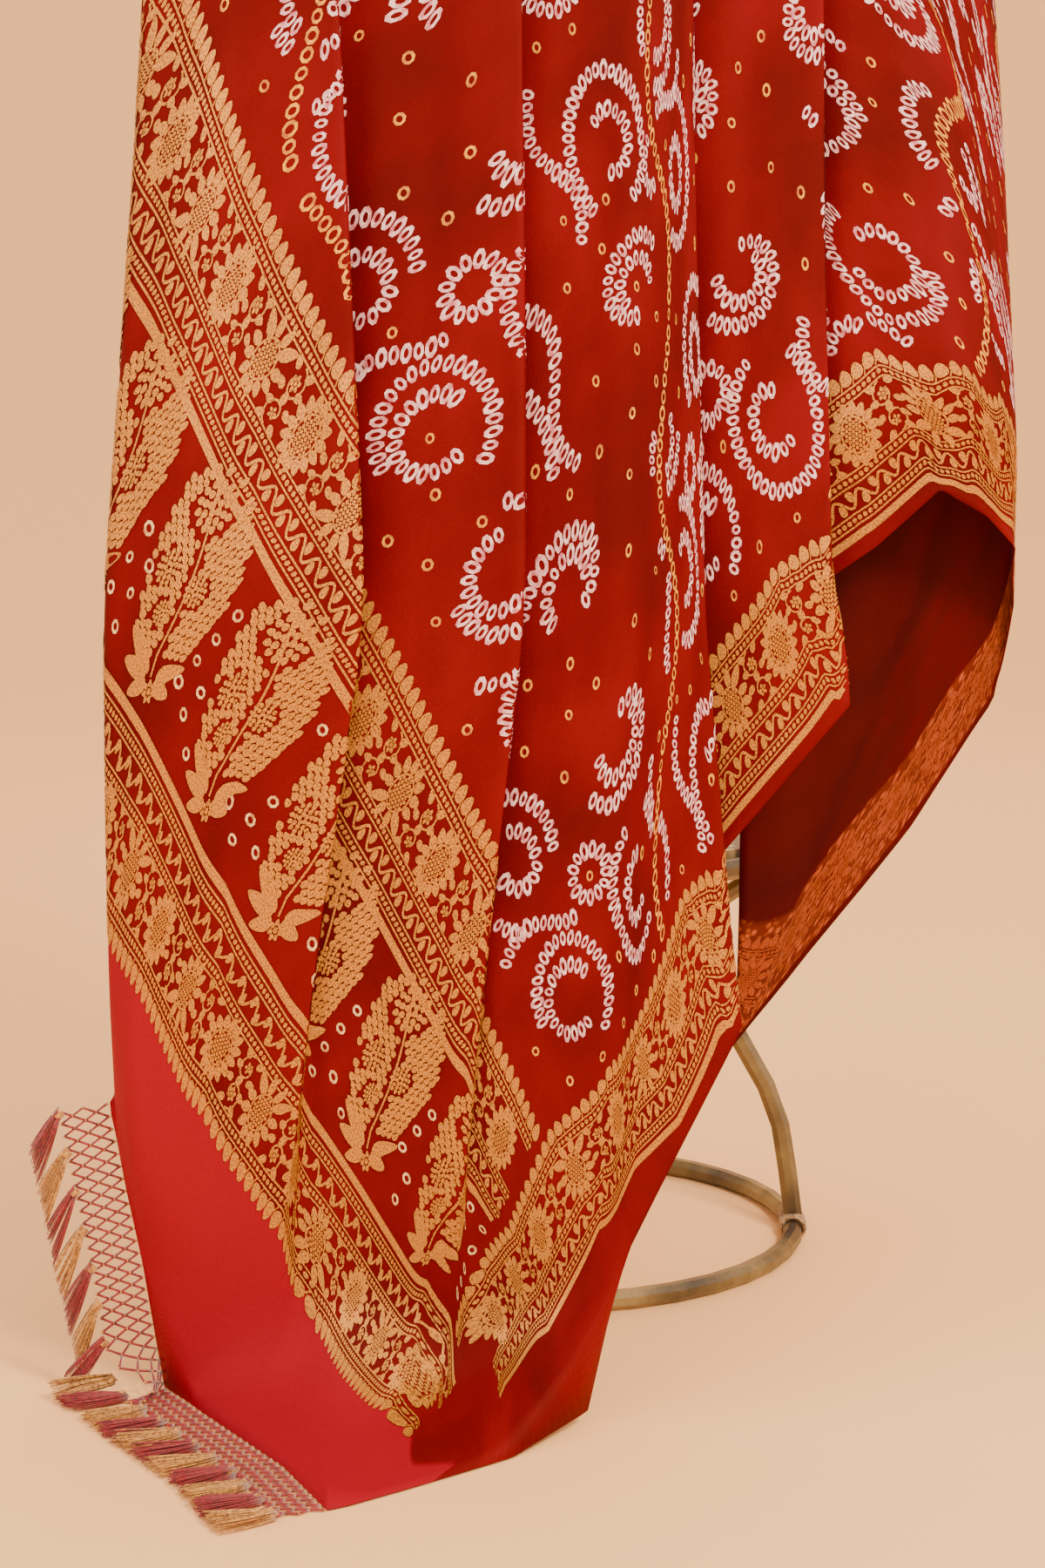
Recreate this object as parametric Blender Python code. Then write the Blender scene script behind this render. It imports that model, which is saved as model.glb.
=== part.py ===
import math

import bmesh
import bpy
import numpy as np
from mathutils import Vector

for old in list(bpy.data.objects):
    bpy.data.objects.remove(old, do_unlink=True)

# Driving dimensions, in metres. X runs right, Y away from the dressed side, Z up.
CLOTH_THICK = 0.002
PIECE_GAP = 0.0003
FLOOR_LIFT = CLOTH_THICK / 2
POLE_RADIUS = 0.0078
BASE_RADIUS = 0.200
WAIST_RADIUS = 0.110
WAIST_HEIGHT = 0.250
SEAT_RADIUS = 0.230
SEAT_HEIGHT = 0.330
SEAT_THICK = 0.008
SEAT_RISE = 0.008
LEG_COUNT = 4
RAIL_Y = -0.380
RAIL_HEIGHT = 1.100
RAIL_DROP = 0.012
BACK_HALF_WIDTH = 0.215
BACK_CENTRE_X = 0.020
BACK_FOOT_X = 0.090
FOOT_SHARE = 0.79
STRUT_SLACK = 0.0004
ARC_START = 1.080
MID_HEIGHT = 0.550
CURTAIN_Y = -0.394
CURTAIN_LEAN = 0.040
NET_WIDTH = 0.034
NET_PITCH = 0.0165
NET_BAR = 0.0034
NET_OFFSET = 0.0016
NET_DROOP = (-0.86, 0.10, -0.50)
TASSEL_LENGTH = 0.042
LOCK_SIDE_SHARE = (0.0, 0.14, 0.32, 0.41, 0.59, 0.68, 0.86, 1.0)

# One row per column of the cloth that the folds and edges turn on, from left to right along its width:
# run: distance along the pleated width; top, mid: x at the rail and at MID_HEIGHT;
# deep: how far in front of the rail plane the column hangs;
# foot: (x, y, z) where it leaves the hanging plane; end: (x, y, z) on the hem; over: length past the rail.
COLUMN_NAMES = ("run", "top", "mid", "deep", "foot", "end", "over")
COLUMNS = (
    (0.000, -0.232, -0.268, -0.034, (-0.272, -0.345, 0.300), (-0.272, -0.335, 0.240), 0.0),
    (0.030, -0.250, -0.292, 0.008, (-0.296, -0.392, 0.300), (-0.296, -0.372, 0.205), 0.03),
    (0.080, -0.215, -0.255, 0.022, (-0.276, -0.400, 0.180), (-0.274, -0.376, 0.090), 0.10),
    (0.135, -0.175, -0.190, 0.026, (-0.246, -0.392, 0.085), (-0.262, -0.366, 0.001), 0.12),
    (0.190, -0.135, -0.115, 0.036, (-0.190, -0.400, 0.045), (-0.240, -0.402, 0.001), 0.12),
    (0.200, -0.137, -0.118, 0.026, (-0.186, -0.402, 0.040), (-0.236, -0.410, 0.001), 0.12),
    (0.240, -0.163, -0.152, 0.012, (-0.170, -0.402, 0.036), (-0.218, -0.440, 0.001), 0.12),
    (0.250, -0.162, -0.151, 0.002, (-0.164, -0.402, 0.034), (-0.212, -0.450, 0.001), 0.12),
    (0.320, -0.088, -0.082, 0.018, (-0.118, -0.400, 0.024), (-0.170, -0.520, 0.001), 0.13),
    (0.395, -0.014, -0.012, 0.036, (-0.072, -0.404, 0.020), (-0.1375, -0.597, 0.001), 0.14),
    (0.405, -0.016, -0.014, 0.026, (-0.066, -0.404, 0.018), (-0.124, -0.589, 0.001), 0.14),
    (0.450, -0.064, -0.062, 0.012, (-0.050, -0.408, 0.014), (-0.090, -0.562, 0.001), 0.15),
    (0.460, -0.063, -0.061, 0.002, (-0.044, -0.410, 0.014), (-0.078, -0.552, 0.001), 0.15),
    (0.530, 0.014, 0.018, 0.016, (-0.004, -0.424, 0.016), (-0.020, -0.503, 0.001), 0.17),
    (0.575, 0.055, 0.062, 0.026, (0.036, -0.428, 0.050), (0.030, -0.440, 0.010), 0.18),
    (0.595, 0.074, 0.083, 0.030, (0.060, -0.436, 0.200), (0.052, -0.434, 0.110), 0.19),
    (0.640, 0.092, 0.104, 0.036, (0.122, -0.442, 0.340), (0.131, -0.442, 0.275), 0.20),
    (0.650, 0.090, 0.102, 0.026, (0.120, -0.432, 0.350), (0.128, -0.432, 0.284), 0.20),
    (0.700, 0.036, 0.046, 0.012, (0.060, -0.418, 0.370), (0.066, -0.418, 0.318), 0.22),
    (0.710, 0.037, 0.047, 0.002, (0.062, -0.408, 0.380), (0.068, -0.408, 0.326), 0.22),
    (0.780, 0.105, 0.116, 0.018, (0.124, -0.422, 0.450), (0.126, -0.422, 0.398), 0.24),
    (0.850, 0.174, 0.186, 0.036, (0.196, -0.440, 0.530), (0.199, -0.440, 0.490), 0.26),
    (0.860, 0.172, 0.184, 0.026, (0.194, -0.430, 0.535), (0.197, -0.430, 0.497), 0.26),
    (0.905, 0.120, 0.132, 0.012, (0.141, -0.416, 0.565), (0.143, -0.416, 0.533), 0.26),
    (0.915, 0.121, 0.133, 0.002, (0.142, -0.406, 0.570), (0.144, -0.406, 0.539), 0.26),
    (0.980, 0.182, 0.204, 0.018, (0.216, -0.420, 0.620), (0.217, -0.420, 0.592), 0.24),
    (1.015, 0.218, 0.252, 0.030, (0.255, -0.432, 0.660), (0.256, -0.432, 0.630), 0.18),
    (1.055, 0.256, 0.286, 0.028, (0.288, -0.428, 0.640), (0.288, -0.428, 0.612), 0.08),
    (1.080, 0.277, 0.306, 0.012, (0.308, -0.410, 0.620), (0.308, -0.410, 0.590), 0.0),
    (1.110, 0.282, 0.311, -0.022, (0.313, -0.372, 0.580), (0.313, -0.372, 0.545), 0.0),
    (1.145, 0.262, 0.300, -0.036, (0.304, -0.352, 0.520), (0.304, -0.348, 0.480), 0.0),
    (1.210, 0.205, 0.243, -0.036, (0.247, -0.342, 0.440), (0.247, -0.338, 0.385), 0.0),
    (1.330, 0.128, 0.124, -0.036, (0.124, -0.340, 0.310), (0.122, -0.338, 0.225), 0.0),
)
# The net and its tassels are worked in two strips, each between two distances along the width.
NET_STRIPS = {"net_fringe_side": (0.030, 0.122), "net_fringe_floor": (0.140, 0.395)}
CLOTH_COLUMNS = 65
CLOTH_ROWS = (11, 5, 2)
SMOOTH_SHARE = 0.04
HANG_SAMPLES = 120
TOP_DEPTH_SHARE = 0.75
ARC_RISE = 0.014
FLAP_FLARE = 0.10
FLAP_LEAST = 0.020
RAIL_LEAST = 0.100
CALM_SHARE = 0.045
CALM_TOP = 0.150
CALM_BAND = 0.100


def column_values(run, name):
    """The named column of the table, read at these distances along the width."""
    place = COLUMN_NAMES.index(name)
    runs = np.array([row[0] for row in COLUMNS])
    values = np.array([row[place] for row in COLUMNS], float).reshape(len(COLUMNS), -1)
    picked = [np.interp(run, runs, values[:, i]) for i in range(values.shape[1])]
    return np.stack(picked, axis=-1)


def softened(path, share):
    """The path with its corners rounded by a running mean, its two ends kept."""
    reach = max(1, int(share * len(path)))
    padded = np.concatenate([np.repeat(path[:1], reach, 0), path, np.repeat(path[-1:], reach, 0)])
    kernel = np.ones(2 * reach + 1) / (2 * reach + 1)
    soft = np.stack([np.convolve(padded[:, i], kernel, "valid") for i in range(3)], axis=1)
    soft[0] = path[0]
    soft[-1] = path[-1]
    return soft


def column_path(run):
    """One column: hem, foot, hanging plane, over the rail and down behind it, and its three lengths."""
    top, mid, deep, over = (column_values(run, name)[0] for name in ("top", "mid", "deep", "over"))
    foot = column_values(run, "foot")
    end = column_values(run, "end")
    front = CURTAIN_Y - max(deep, 0.0) * TOP_DEPTH_SHARE - min(deep, 0.0)
    mid_y = CURTAIN_Y - deep - CURTAIN_LEAN * (ARC_START - MID_HEIGHT) * min(max(deep, 0.0) / 0.002, 1.0)
    mid_point = np.array([mid, mid_y, max(MID_HEIGHT, foot[2] + 0.04)])
    hanging = spaced(np.array([end, foot, mid_point, np.array([top, front, ARC_START])]), HANG_SAMPLES)
    hanging = softened(hanging, SMOOTH_SHARE)
    radius = max(RAIL_Y - front, 0.0)
    curl = min(over, math.pi * radius)
    points = []
    if curl > 0.0:
        for angle in np.linspace(0.0, curl / radius, 12)[1:]:
            y = RAIL_Y - radius * math.cos(angle)
            z = ARC_START + (radius + ARC_RISE) * math.sin(angle)
            points.append((top, y, z))
        if over > curl:
            fall = over - curl
            points.append((top, points[-1][1] + FLAP_FLARE * fall, points[-1][2] - fall))
    path = np.concatenate([hanging, np.array(points).reshape(-1, 3)])
    path[:, 2] = np.maximum(path[:, 2], FLOOR_LIFT)
    return path, over, max(over - curl, FLAP_LEAST)


def spaced(points, count):
    """The same route with its points at even lengths."""
    lengths = lengths_of(points)
    return at_lengths(points, lengths, np.linspace(0.0, lengths[-1], count))


def lengths_of(points):
    return np.concatenate([[0.0], np.cumsum(np.linalg.norm(np.diff(points, axis=0), axis=1))])


def at_lengths(points, lengths, wanted):
    return np.stack([np.interp(wanted, lengths, points[:, i]) for i in range(3)], axis=1)


def cloth_grid(columns, rows):
    """The middle surface as (columns, points, 3): each column's hanging rows, rail rows, then flap rows."""
    runs = np.array([row[0] for row in COLUMNS])
    even = np.interp(np.linspace(0, len(COLUMNS) - 1, columns), np.arange(len(COLUMNS)), runs)
    hang_rows, rail_rows, flap_rows = rows
    grid = []
    for run in even:
        path, over, flap = column_path(run)
        lengths = lengths_of(path)
        total = lengths[-1]
        first = total - over - RAIL_LEAST * (1.0 - min(over / RAIL_LEAST, 1.0))
        wanted = np.concatenate([
            np.linspace(0.0, first, hang_rows, endpoint=False),
            np.linspace(first, total - flap, rail_rows, endpoint=False),
            np.linspace(total - flap, total, flap_rows),
        ])
        grid.append(at_lengths(path, lengths, wanted))
    return calmed(np.array(grid))


def calmed(grid):
    """Near the floor the pleats open out: there each point moves to the mean of its neighbours' columns."""
    reach = max(2, int(round(CALM_SHARE * len(grid))))
    kernel = np.ones(2 * reach + 1) / (2 * reach + 1)
    padded = np.concatenate([np.repeat(grid[:1], reach, 0), grid, np.repeat(grid[-1:], reach, 0)])
    mean = np.apply_along_axis(lambda line: np.convolve(line, kernel, "valid"), 0, padded)
    weight = np.clip((CALM_TOP - grid[:, :, 2:]) / CALM_BAND, 0.0, 1.0)
    weight[:, 0] = 0.0
    calm = grid * (1 - weight) + mean * weight
    calm[:, :, 2] = np.maximum(calm[:, :, 2], FLOOR_LIFT)
    return calm


def grid_normals(grid):
    along = np.gradient(grid, axis=0)
    up = np.gradient(grid, axis=1)
    normal = np.cross(along, up)
    return normal / np.maximum(np.linalg.norm(normal, axis=2, keepdims=True), 1e-9)


def material_of(name, colour, roughness, metallic=0.0):
    material = bpy.data.materials.new(name)
    material.use_nodes = True
    shader = material.node_tree.nodes["Principled BSDF"]
    shader.inputs["Base Color"].default_value = (*colour, 1.0)
    shader.inputs["Roughness"].default_value = roughness
    shader.inputs["Metallic"].default_value = metallic
    return material


def object_of(name, vertices, faces, material, smooth=True):
    mesh = bpy.data.meshes.new(name)
    mesh.from_pydata([tuple(v) for v in vertices], [], [tuple(f) for f in faces])
    mesh.validate()
    if smooth:
        mesh.shade_smooth()
        mesh.set_sharp_from_angle(angle=math.radians(40))
    made = bpy.data.objects.new(name, mesh)
    made.data.materials.append(material)
    bpy.context.scene.collection.objects.link(made)
    return made


def sheet_solid(name, grid, thick, material):
    """A closed sheet: the grid moved half its thickness to each side, with its four edges walled."""
    columns, rows = grid.shape[:2]
    offset = grid_normals(grid) * thick / 2
    front = (grid + offset).reshape(-1, 3)
    back = (grid - offset).reshape(-1, 3)
    front[:, 2] = np.maximum(front[:, 2], 0.0)
    back[:, 2] = np.maximum(back[:, 2], 0.0)
    count = columns * rows
    index = np.arange(count).reshape(columns, rows)
    a, b = index[:-1, :-1].ravel(), index[1:, :-1].ravel()
    c, d = index[1:, 1:].ravel(), index[:-1, 1:].ravel()
    faces = [tuple(f) for f in np.stack([a, b, c, d], 1)]
    faces += [tuple(f) for f in np.stack([d, c, b, a], 1) + count]
    rim = list(index[:, 0]) + list(index[-1, 1:]) + list(index[-2::-1, -1]) + list(index[0, -2:0:-1])
    for first, second in zip(rim, rim[1:] + rim[:1]):
        faces.append((second, first, first + count, second + count))
    return object_of(name, np.concatenate([front, back]), faces, material)


def tube(name, points, radius, material, sides=8, closed=False):
    """A pole: rings of points about a path, capped at its ends unless it closes on itself."""
    points = np.array(points, float)
    count = len(points)
    following = np.roll(points, -1, 0) if closed else np.vstack([points[1:], 2 * points[-1:] - points[-2:-1]])
    before = np.roll(points, 1, 0) if closed else np.vstack([2 * points[:1] - points[1:2], points[:-1]])
    ahead = following - before
    ahead /= np.linalg.norm(ahead, axis=1, keepdims=True)
    side = np.cross(ahead, (0.0, 0.0, 1.0))
    flat = np.linalg.norm(side, axis=1) < 0.05
    side[flat] = np.cross(ahead[flat], (0.0, 1.0, 0.0))
    side /= np.linalg.norm(side, axis=1, keepdims=True)
    for i in range(1, count):
        if np.dot(side[i], side[i - 1]) < 0:
            side[i] = -side[i]
    rise = np.cross(side, ahead)
    angles = 2 * math.pi * (np.arange(sides) + 0.5) / sides
    ring = np.cos(angles)[None, :, None] * side[:, None] + np.sin(angles)[None, :, None] * rise[:, None]
    vertices = (points[:, None] + radius * ring).reshape(-1, 3)
    faces = []
    for i in range(count if closed else count - 1):
        j = (i + 1) % count
        for k in range(sides):
            n = (k + 1) % sides
            faces.append((i * sides + k, i * sides + n, j * sides + n, j * sides + k))
    if not closed:
        faces.append(tuple(range(sides))[::-1])
        faces.append(tuple((count - 1) * sides + k for k in range(sides)))
    made = object_of(name, vertices, faces, material)
    faced_out(made)
    return made


def faced_out(made):
    mesh = bmesh.new()
    mesh.from_mesh(made.data)
    bmesh.ops.recalc_face_normals(mesh, faces=mesh.faces)
    if mesh.calc_volume(signed=True) < 0:
        bmesh.ops.reverse_faces(mesh, faces=mesh.faces)
    mesh.to_mesh(made.data)
    mesh.free()


def circle(radius, height, count, centre_x=0.0, centre_y=0.0):
    angles = 2 * math.pi * np.arange(count) / count
    return [(centre_x + radius * math.cos(a), centre_y + radius * math.sin(a), height) for a in angles]


def curve(points, samples):
    """A Catmull-Rom curve through the given points."""
    given = [Vector(p) for p in points]
    given = [2 * given[0] - given[1]] + given + [2 * given[-1] - given[-2]]
    out = []
    for place in np.linspace(0, len(points) - 1, samples):
        i = min(int(place), len(points) - 2)
        t = place - i
        p0, p1, p2, p3 = given[i : i + 4]
        out.append(
            0.5 * (2 * p1 + (p2 - p0) * t + (2 * p0 - 5 * p1 + 4 * p2 - p3) * t**2
                   + (3 * p1 - p0 - 3 * p2 + p3) * t**3)
        )
    return out


def make_cloth(material):
    made = sheet_solid("cloth", cloth_grid(CLOTH_COLUMNS, CLOTH_ROWS), CLOTH_THICK, material)
    faced_out(made)


def end_edge(strip, count):
    """Points of the end edge along one strip of net, from its left end, and its length."""
    runs = np.linspace(*strip, 200)
    points = column_values(runs, "end")
    lengths = np.concatenate([[0.0], np.cumsum(np.linalg.norm(np.diff(points, axis=0), axis=1))])
    even = np.linspace(0.0, lengths[-1], count)
    edge = np.stack([np.interp(even, lengths, points[:, i]) for i in range(3)], axis=1)
    return edge, lengths[-1]


def make_net(name, strip, material):
    """The knotted net: cells with a diamond hole, and a tassel of three locks on each outer cell."""
    cells = int(end_edge(strip, 2)[1] / NET_PITCH)
    edge = end_edge(strip, cells + 1)[0]
    along = np.gradient(edge, axis=0)
    along /= np.linalg.norm(along, axis=1, keepdims=True)
    outward = np.stack([along[:, 1], -along[:, 0], np.zeros(len(along))], axis=1)
    outward /= np.linalg.norm(outward, axis=1, keepdims=True)
    # Where the edge hangs clear of the floor, the net stands off sideways and droops.
    fall = np.clip(edge[:, 2:] / 0.05, 0.0, 1.0)
    outward = outward * (1 - fall) + np.array([NET_DROOP]) * fall
    outward -= along * (outward * along).sum(axis=1, keepdims=True)
    outward /= np.linalg.norm(outward, axis=1, keepdims=True)
    across = np.cross(outward, along)
    across /= np.linalg.norm(across, axis=1, keepdims=True)
    vertices = []
    faces = []

    def point(i, reach, side):
        low = int(min(max(math.floor(i), 0), cells - 1))
        t = i - low
        base = edge[low] * (1 - t) + edge[low + 1] * t
        out = outward[low] * (1 - t) + outward[low + 1] * t
        thick = across[low] * (1 - t) + across[low + 1] * t
        where = base + out * (reach + NET_OFFSET)
        where[2] = max(where[2], FLOOR_LIFT)
        where = where + thick * side * FLOOR_LIFT
        where[2] = max(where[2], 0.0)
        vertices.append(where)
        return len(vertices) - 1

    rows = 2
    step = NET_WIDTH / rows
    bar = NET_BAR / NET_PITCH / 2
    shared = {}

    def corner(i, reach, side):
        key = (round(i, 4), round(reach, 6), side)
        if key not in shared:
            shared[key] = point(i, reach, side)
        return shared[key]

    for i in range(cells):
        for row in range(rows):
            low, high = row * step, (row + 1) * step
            middle = (low + high) / 2
            hole = [(i + bar, middle), (i + 0.5, low + NET_BAR / 2),
                    (i + 1 - bar, middle), (i + 0.5, high - NET_BAR / 2)]
            outer_row = row == rows - 1
            shares = LOCK_SIDE_SHARE if outer_row else (0.0, 1.0)
            far = [(i + share, high) for share in reversed(shares)]
            for side in (1, -1):
                h = [corner(*at, side) for at in hole]
                near = [corner(i, low, side), corner(i + 1, low, side)]
                edge_far = [corner(*at, side) for at in far]
                polygons = [
                    (near[0], near[1], h[1]),
                    (near[1], h[2], h[1]),
                    (near[1], edge_far[0], h[2]),
                    (h[0], near[0], h[1]),
                    (edge_far[-1], near[0], h[0]),
                    (edge_far[0], h[3], h[2]),
                    (edge_far[-1], h[0], h[3]),
                ]
                for k in range(len(edge_far) - 1):
                    polygons.append((edge_far[k], edge_far[k + 1], h[3]))
                for polygon in polygons:
                    faces.append(polygon if side == 1 else polygon[::-1])
            for k in range(4):
                a, b = hole[k], hole[(k + 1) % 4]
                faces.append((corner(*a, 1), corner(*a, -1), corner(*b, -1), corner(*b, 1)))
            if row == 0:
                faces.append((corner(i, low, 1), corner(i, low, -1), corner(i + 1, low, -1), corner(i + 1, low, 1)))
            if outer_row:
                for k in range(len(shares) - 1):
                    first, last = i + shares[k], i + shares[k + 1]
                    if k % 2 == 0:
                        faces.append((corner(last, high, 1), corner(last, high, -1),
                                      corner(first, high, -1), corner(first, high, 1)))
                        continue
                    add_lock(faces, corner, point, first, last, high)
            if i == 0:
                faces.append((corner(0, high, 1), corner(0, high, -1), corner(0, low, -1), corner(0, low, 1)))
            if i == cells - 1:
                faces.append((corner(cells, low, 1), corner(cells, low, -1),
                              corner(cells, high, -1), corner(cells, high, 1)))
    made = object_of(name, vertices, faces, material, smooth=False)
    faced_out(made)


def add_lock(faces, corner, point, first, last, start):
    """One lock of a tassel: a four-sided strand drawn out of the net's edge, thinner at its tip."""
    ring = [corner(last, start, 1), corner(last, start, -1), corner(first, start, -1), corner(first, start, 1)]
    centre = (first + last) / 2
    for share, width in ((0.5, 1.0), (1.0, 0.7)):
        a = centre - (centre - first) * width
        b = centre + (last - centre) * width
        reach = start + TASSEL_LENGTH * share
        following = [point(b, reach, 1), point(b, reach, -1), point(a, reach, -1), point(a, reach, 1)]
        for k in range(4):
            n = (k + 1) % 4
            faces.append((ring[k], ring[n], following[n], following[k]))
        ring = following
    faces.append(tuple(ring))


def make_chair(cane, weave):
    base_height = POLE_RADIUS * math.cos(math.pi / 8)
    tube("base_ring", circle(BASE_RADIUS, base_height, 36), POLE_RADIUS, cane, closed=True)
    tube("waist_ring", circle(WAIST_RADIUS, WAIST_HEIGHT, 20), POLE_RADIUS, cane, closed=True)
    tube("seat_ring", circle(SEAT_RADIUS, SEAT_HEIGHT, 32), POLE_RADIUS, cane, closed=True)
    touch = POLE_RADIUS + PIECE_GAP
    for number in range(LEG_COUNT):
        angle = 2 * math.pi * number / LEG_COUNT
        ray = Vector((math.cos(angle), math.sin(angle), 0))
        foot = ray * BASE_RADIUS + Vector((0, 0, base_height + touch))
        knee = ray * (BASE_RADIUS - 0.014) + Vector((0, 0, 0.100))
        bend = ray * (BASE_RADIUS - 0.050) + Vector((0, 0, 0.170))
        head = ray * WAIST_RADIUS + Vector((0, 0, WAIST_HEIGHT)) + (bend - ray * WAIST_RADIUS
               - Vector((0, 0, WAIST_HEIGHT))).normalized() * touch
        tube(f"leg_{number + 1}", curve([foot, knee, bend, head], 8), POLE_RADIUS, cane)
        low = ray * WAIST_RADIUS + Vector((0, 0, WAIST_HEIGHT))
        high = ray * SEAT_RADIUS + Vector((0, 0, SEAT_HEIGHT))
        way = (high - low).normalized()
        tube(f"strut_{number + 1}", [low + way * touch, high - way * (touch + STRUT_SLACK)], POLE_RADIUS * 0.9, cane)
    bpy.ops.mesh.primitive_cylinder_add(vertices=24, radius=SEAT_RADIUS - POLE_RADIUS - 2 * PIECE_GAP,
                                        depth=SEAT_THICK, location=(0, 0, SEAT_HEIGHT + SEAT_RISE))
    seat = bpy.context.object
    seat.name = "seat_panel"
    seat.data.materials.append(weave)
    hoop_points = []
    for share in np.linspace(-1, 1, 41):
        angle = share * math.pi * 0.5
        x = BACK_CENTRE_X + BACK_HALF_WIDTH * math.copysign(abs(math.sin(angle)) ** 0.55, angle)
        z = 0.760 + (RAIL_HEIGHT - RAIL_DROP - 0.760) * max(math.cos(angle), 0.0) ** 0.45
        hoop_points.append((x, RAIL_Y, z))
    foot_y = -math.sqrt(SEAT_RADIUS**2 - BACK_FOOT_X**2)
    left = [(-BACK_FOOT_X, foot_y - touch * FOOT_SHARE, SEAT_HEIGHT + touch * FOOT_SHARE),
            (-BACK_FOOT_X - 0.004, foot_y - 0.080, 0.410), (-0.108, RAIL_Y + 0.003, 0.550)]
    right = [(-x, y, z) for x, y, z in reversed(left)]
    whole = left + [hoop_points[0]] + hoop_points[4:-4:4] + [hoop_points[-1]] + right
    tube("back_hoop", curve(whole, 40), POLE_RADIUS, cane)
    for number, x in enumerate((-0.06, 0.0, 0.06)):
        seat_y = -math.sqrt(SEAT_RADIUS**2 - x**2)
        foot = (x, seat_y - touch * FOOT_SHARE, SEAT_HEIGHT + touch * FOOT_SHARE)
        top = (x * 1.6 + BACK_CENTRE_X, RAIL_Y + 0.001, RAIL_HEIGHT - RAIL_DROP - 2 * POLE_RADIUS - 0.012)
        middle = (x * 1.2, RAIL_Y + 0.040, 0.600)
        tube(f"back_spoke_{number + 1}", curve([foot, middle, top], 10), POLE_RADIUS * 0.8, cane)


def centre_on_base():
    """Moves everything so that the origin is the middle of the underside of the whole object's box."""
    bpy.context.view_layer.update()
    made = [o for o in bpy.context.scene.objects if o.type == "MESH"]
    corners = np.array([o.matrix_world @ Vector(v.co) for o in made for v in o.data.vertices])
    low, high = corners.min(axis=0), corners.max(axis=0)
    shift = Vector(((low[0] + high[0]) / 2, (low[1] + high[1]) / 2, low[2]))
    for each in made:
        each.location -= shift


def main():
    red = material_of("red georgette", (0.42, 0.005, 0.012), 0.6)
    gold = material_of("red and gold silk thread", (0.52, 0.20, 0.06), 0.5)
    cane = material_of("olive brown cane", (0.22, 0.14, 0.06), 0.45)
    weave = material_of("woven cane seat", (0.34, 0.24, 0.12), 0.6)
    make_cloth(red)
    for name, strip in NET_STRIPS.items():
        make_net(name, strip, gold)
    make_chair(cane, weave)
    centre_on_base()


main()
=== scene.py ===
import math
import bpy
import numpy as np
from mathutils import Euler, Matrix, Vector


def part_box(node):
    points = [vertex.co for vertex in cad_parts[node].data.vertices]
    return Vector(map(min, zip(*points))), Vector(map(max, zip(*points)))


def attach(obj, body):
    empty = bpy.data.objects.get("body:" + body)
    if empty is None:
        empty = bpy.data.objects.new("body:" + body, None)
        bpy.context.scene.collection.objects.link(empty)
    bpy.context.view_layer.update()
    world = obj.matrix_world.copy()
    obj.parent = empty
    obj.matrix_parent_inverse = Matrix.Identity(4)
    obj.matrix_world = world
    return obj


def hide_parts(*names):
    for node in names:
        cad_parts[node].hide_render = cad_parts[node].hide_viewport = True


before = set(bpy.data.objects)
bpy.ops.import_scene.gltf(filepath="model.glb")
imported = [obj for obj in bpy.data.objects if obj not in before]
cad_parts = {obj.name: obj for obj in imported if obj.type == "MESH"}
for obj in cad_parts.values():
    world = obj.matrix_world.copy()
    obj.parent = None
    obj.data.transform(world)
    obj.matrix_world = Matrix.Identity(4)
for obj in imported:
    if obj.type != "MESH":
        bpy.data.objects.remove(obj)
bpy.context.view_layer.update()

# The chair's base ring is centred on the spot that every place below is measured from.
ringLow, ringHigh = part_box("base_ring")
originShift = np.array([(ringLow[0] + ringHigh[0]) / 2, (ringLow[1] + ringHigh[1]) / 2, 0.0])
seeded = np.random.default_rng(27)


def toLinear(hexText):
    # sRGB hex text to linear red, green, blue and alpha
    parts = [int(hexText[i : i + 2], 16) / 255 for i in (1, 3, 5)]
    return tuple(p / 12.92 if p <= 0.04045 else ((p + 0.055) / 1.055) ** 2.4 for p in parts) + (1.0,)


def addNode(tree, kind, settings=None, inputs=None):
    # one shader node with its settings; an input given another node's socket is linked, any other is set
    node = tree.nodes.new("ShaderNode" + kind)
    for key, value in (settings or {}).items():
        setattr(node, key, value)
    for key, value in (inputs or {}).items():
        if isinstance(value, bpy.types.NodeSocket):
            tree.links.new(value, node.inputs[key])
        else:
            node.inputs[key].default_value = value
    return node


def newMaterial(name, shaderValues):
    material = bpy.data.materials.new(name)
    material.use_nodes = True
    tree = material.node_tree
    shader = tree.nodes["Principled BSDF"]
    for key, value in shaderValues.items():
        shader.inputs[key].default_value = value
    return material, tree, shader


def meshPiece(name, points, faces, material, uv=None, smooth=True):
    # points (n, 3) and faces as an array or list become one object that rides on the only body
    mesh = bpy.data.meshes.new(name)
    mesh.from_pydata(points.tolist(), [], faces.tolist() if hasattr(faces, "tolist") else faces)
    mesh.update()
    if uv is not None:
        layer = mesh.uv_layers.new(name="flatPlace")
        loops = np.empty(len(mesh.loops), np.int32)
        mesh.loops.foreach_get("vertex_index", loops)
        layer.data.foreach_set("uv", uv[loops].astype(np.float32).ravel())
    mesh.polygons.foreach_set("use_smooth", np.full(len(mesh.polygons), smooth))
    piece = bpy.data.objects.new(name, mesh)
    mesh.materials.append(material)
    bpy.context.scene.collection.objects.link(piece)
    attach(piece, "root")
    return piece


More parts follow.
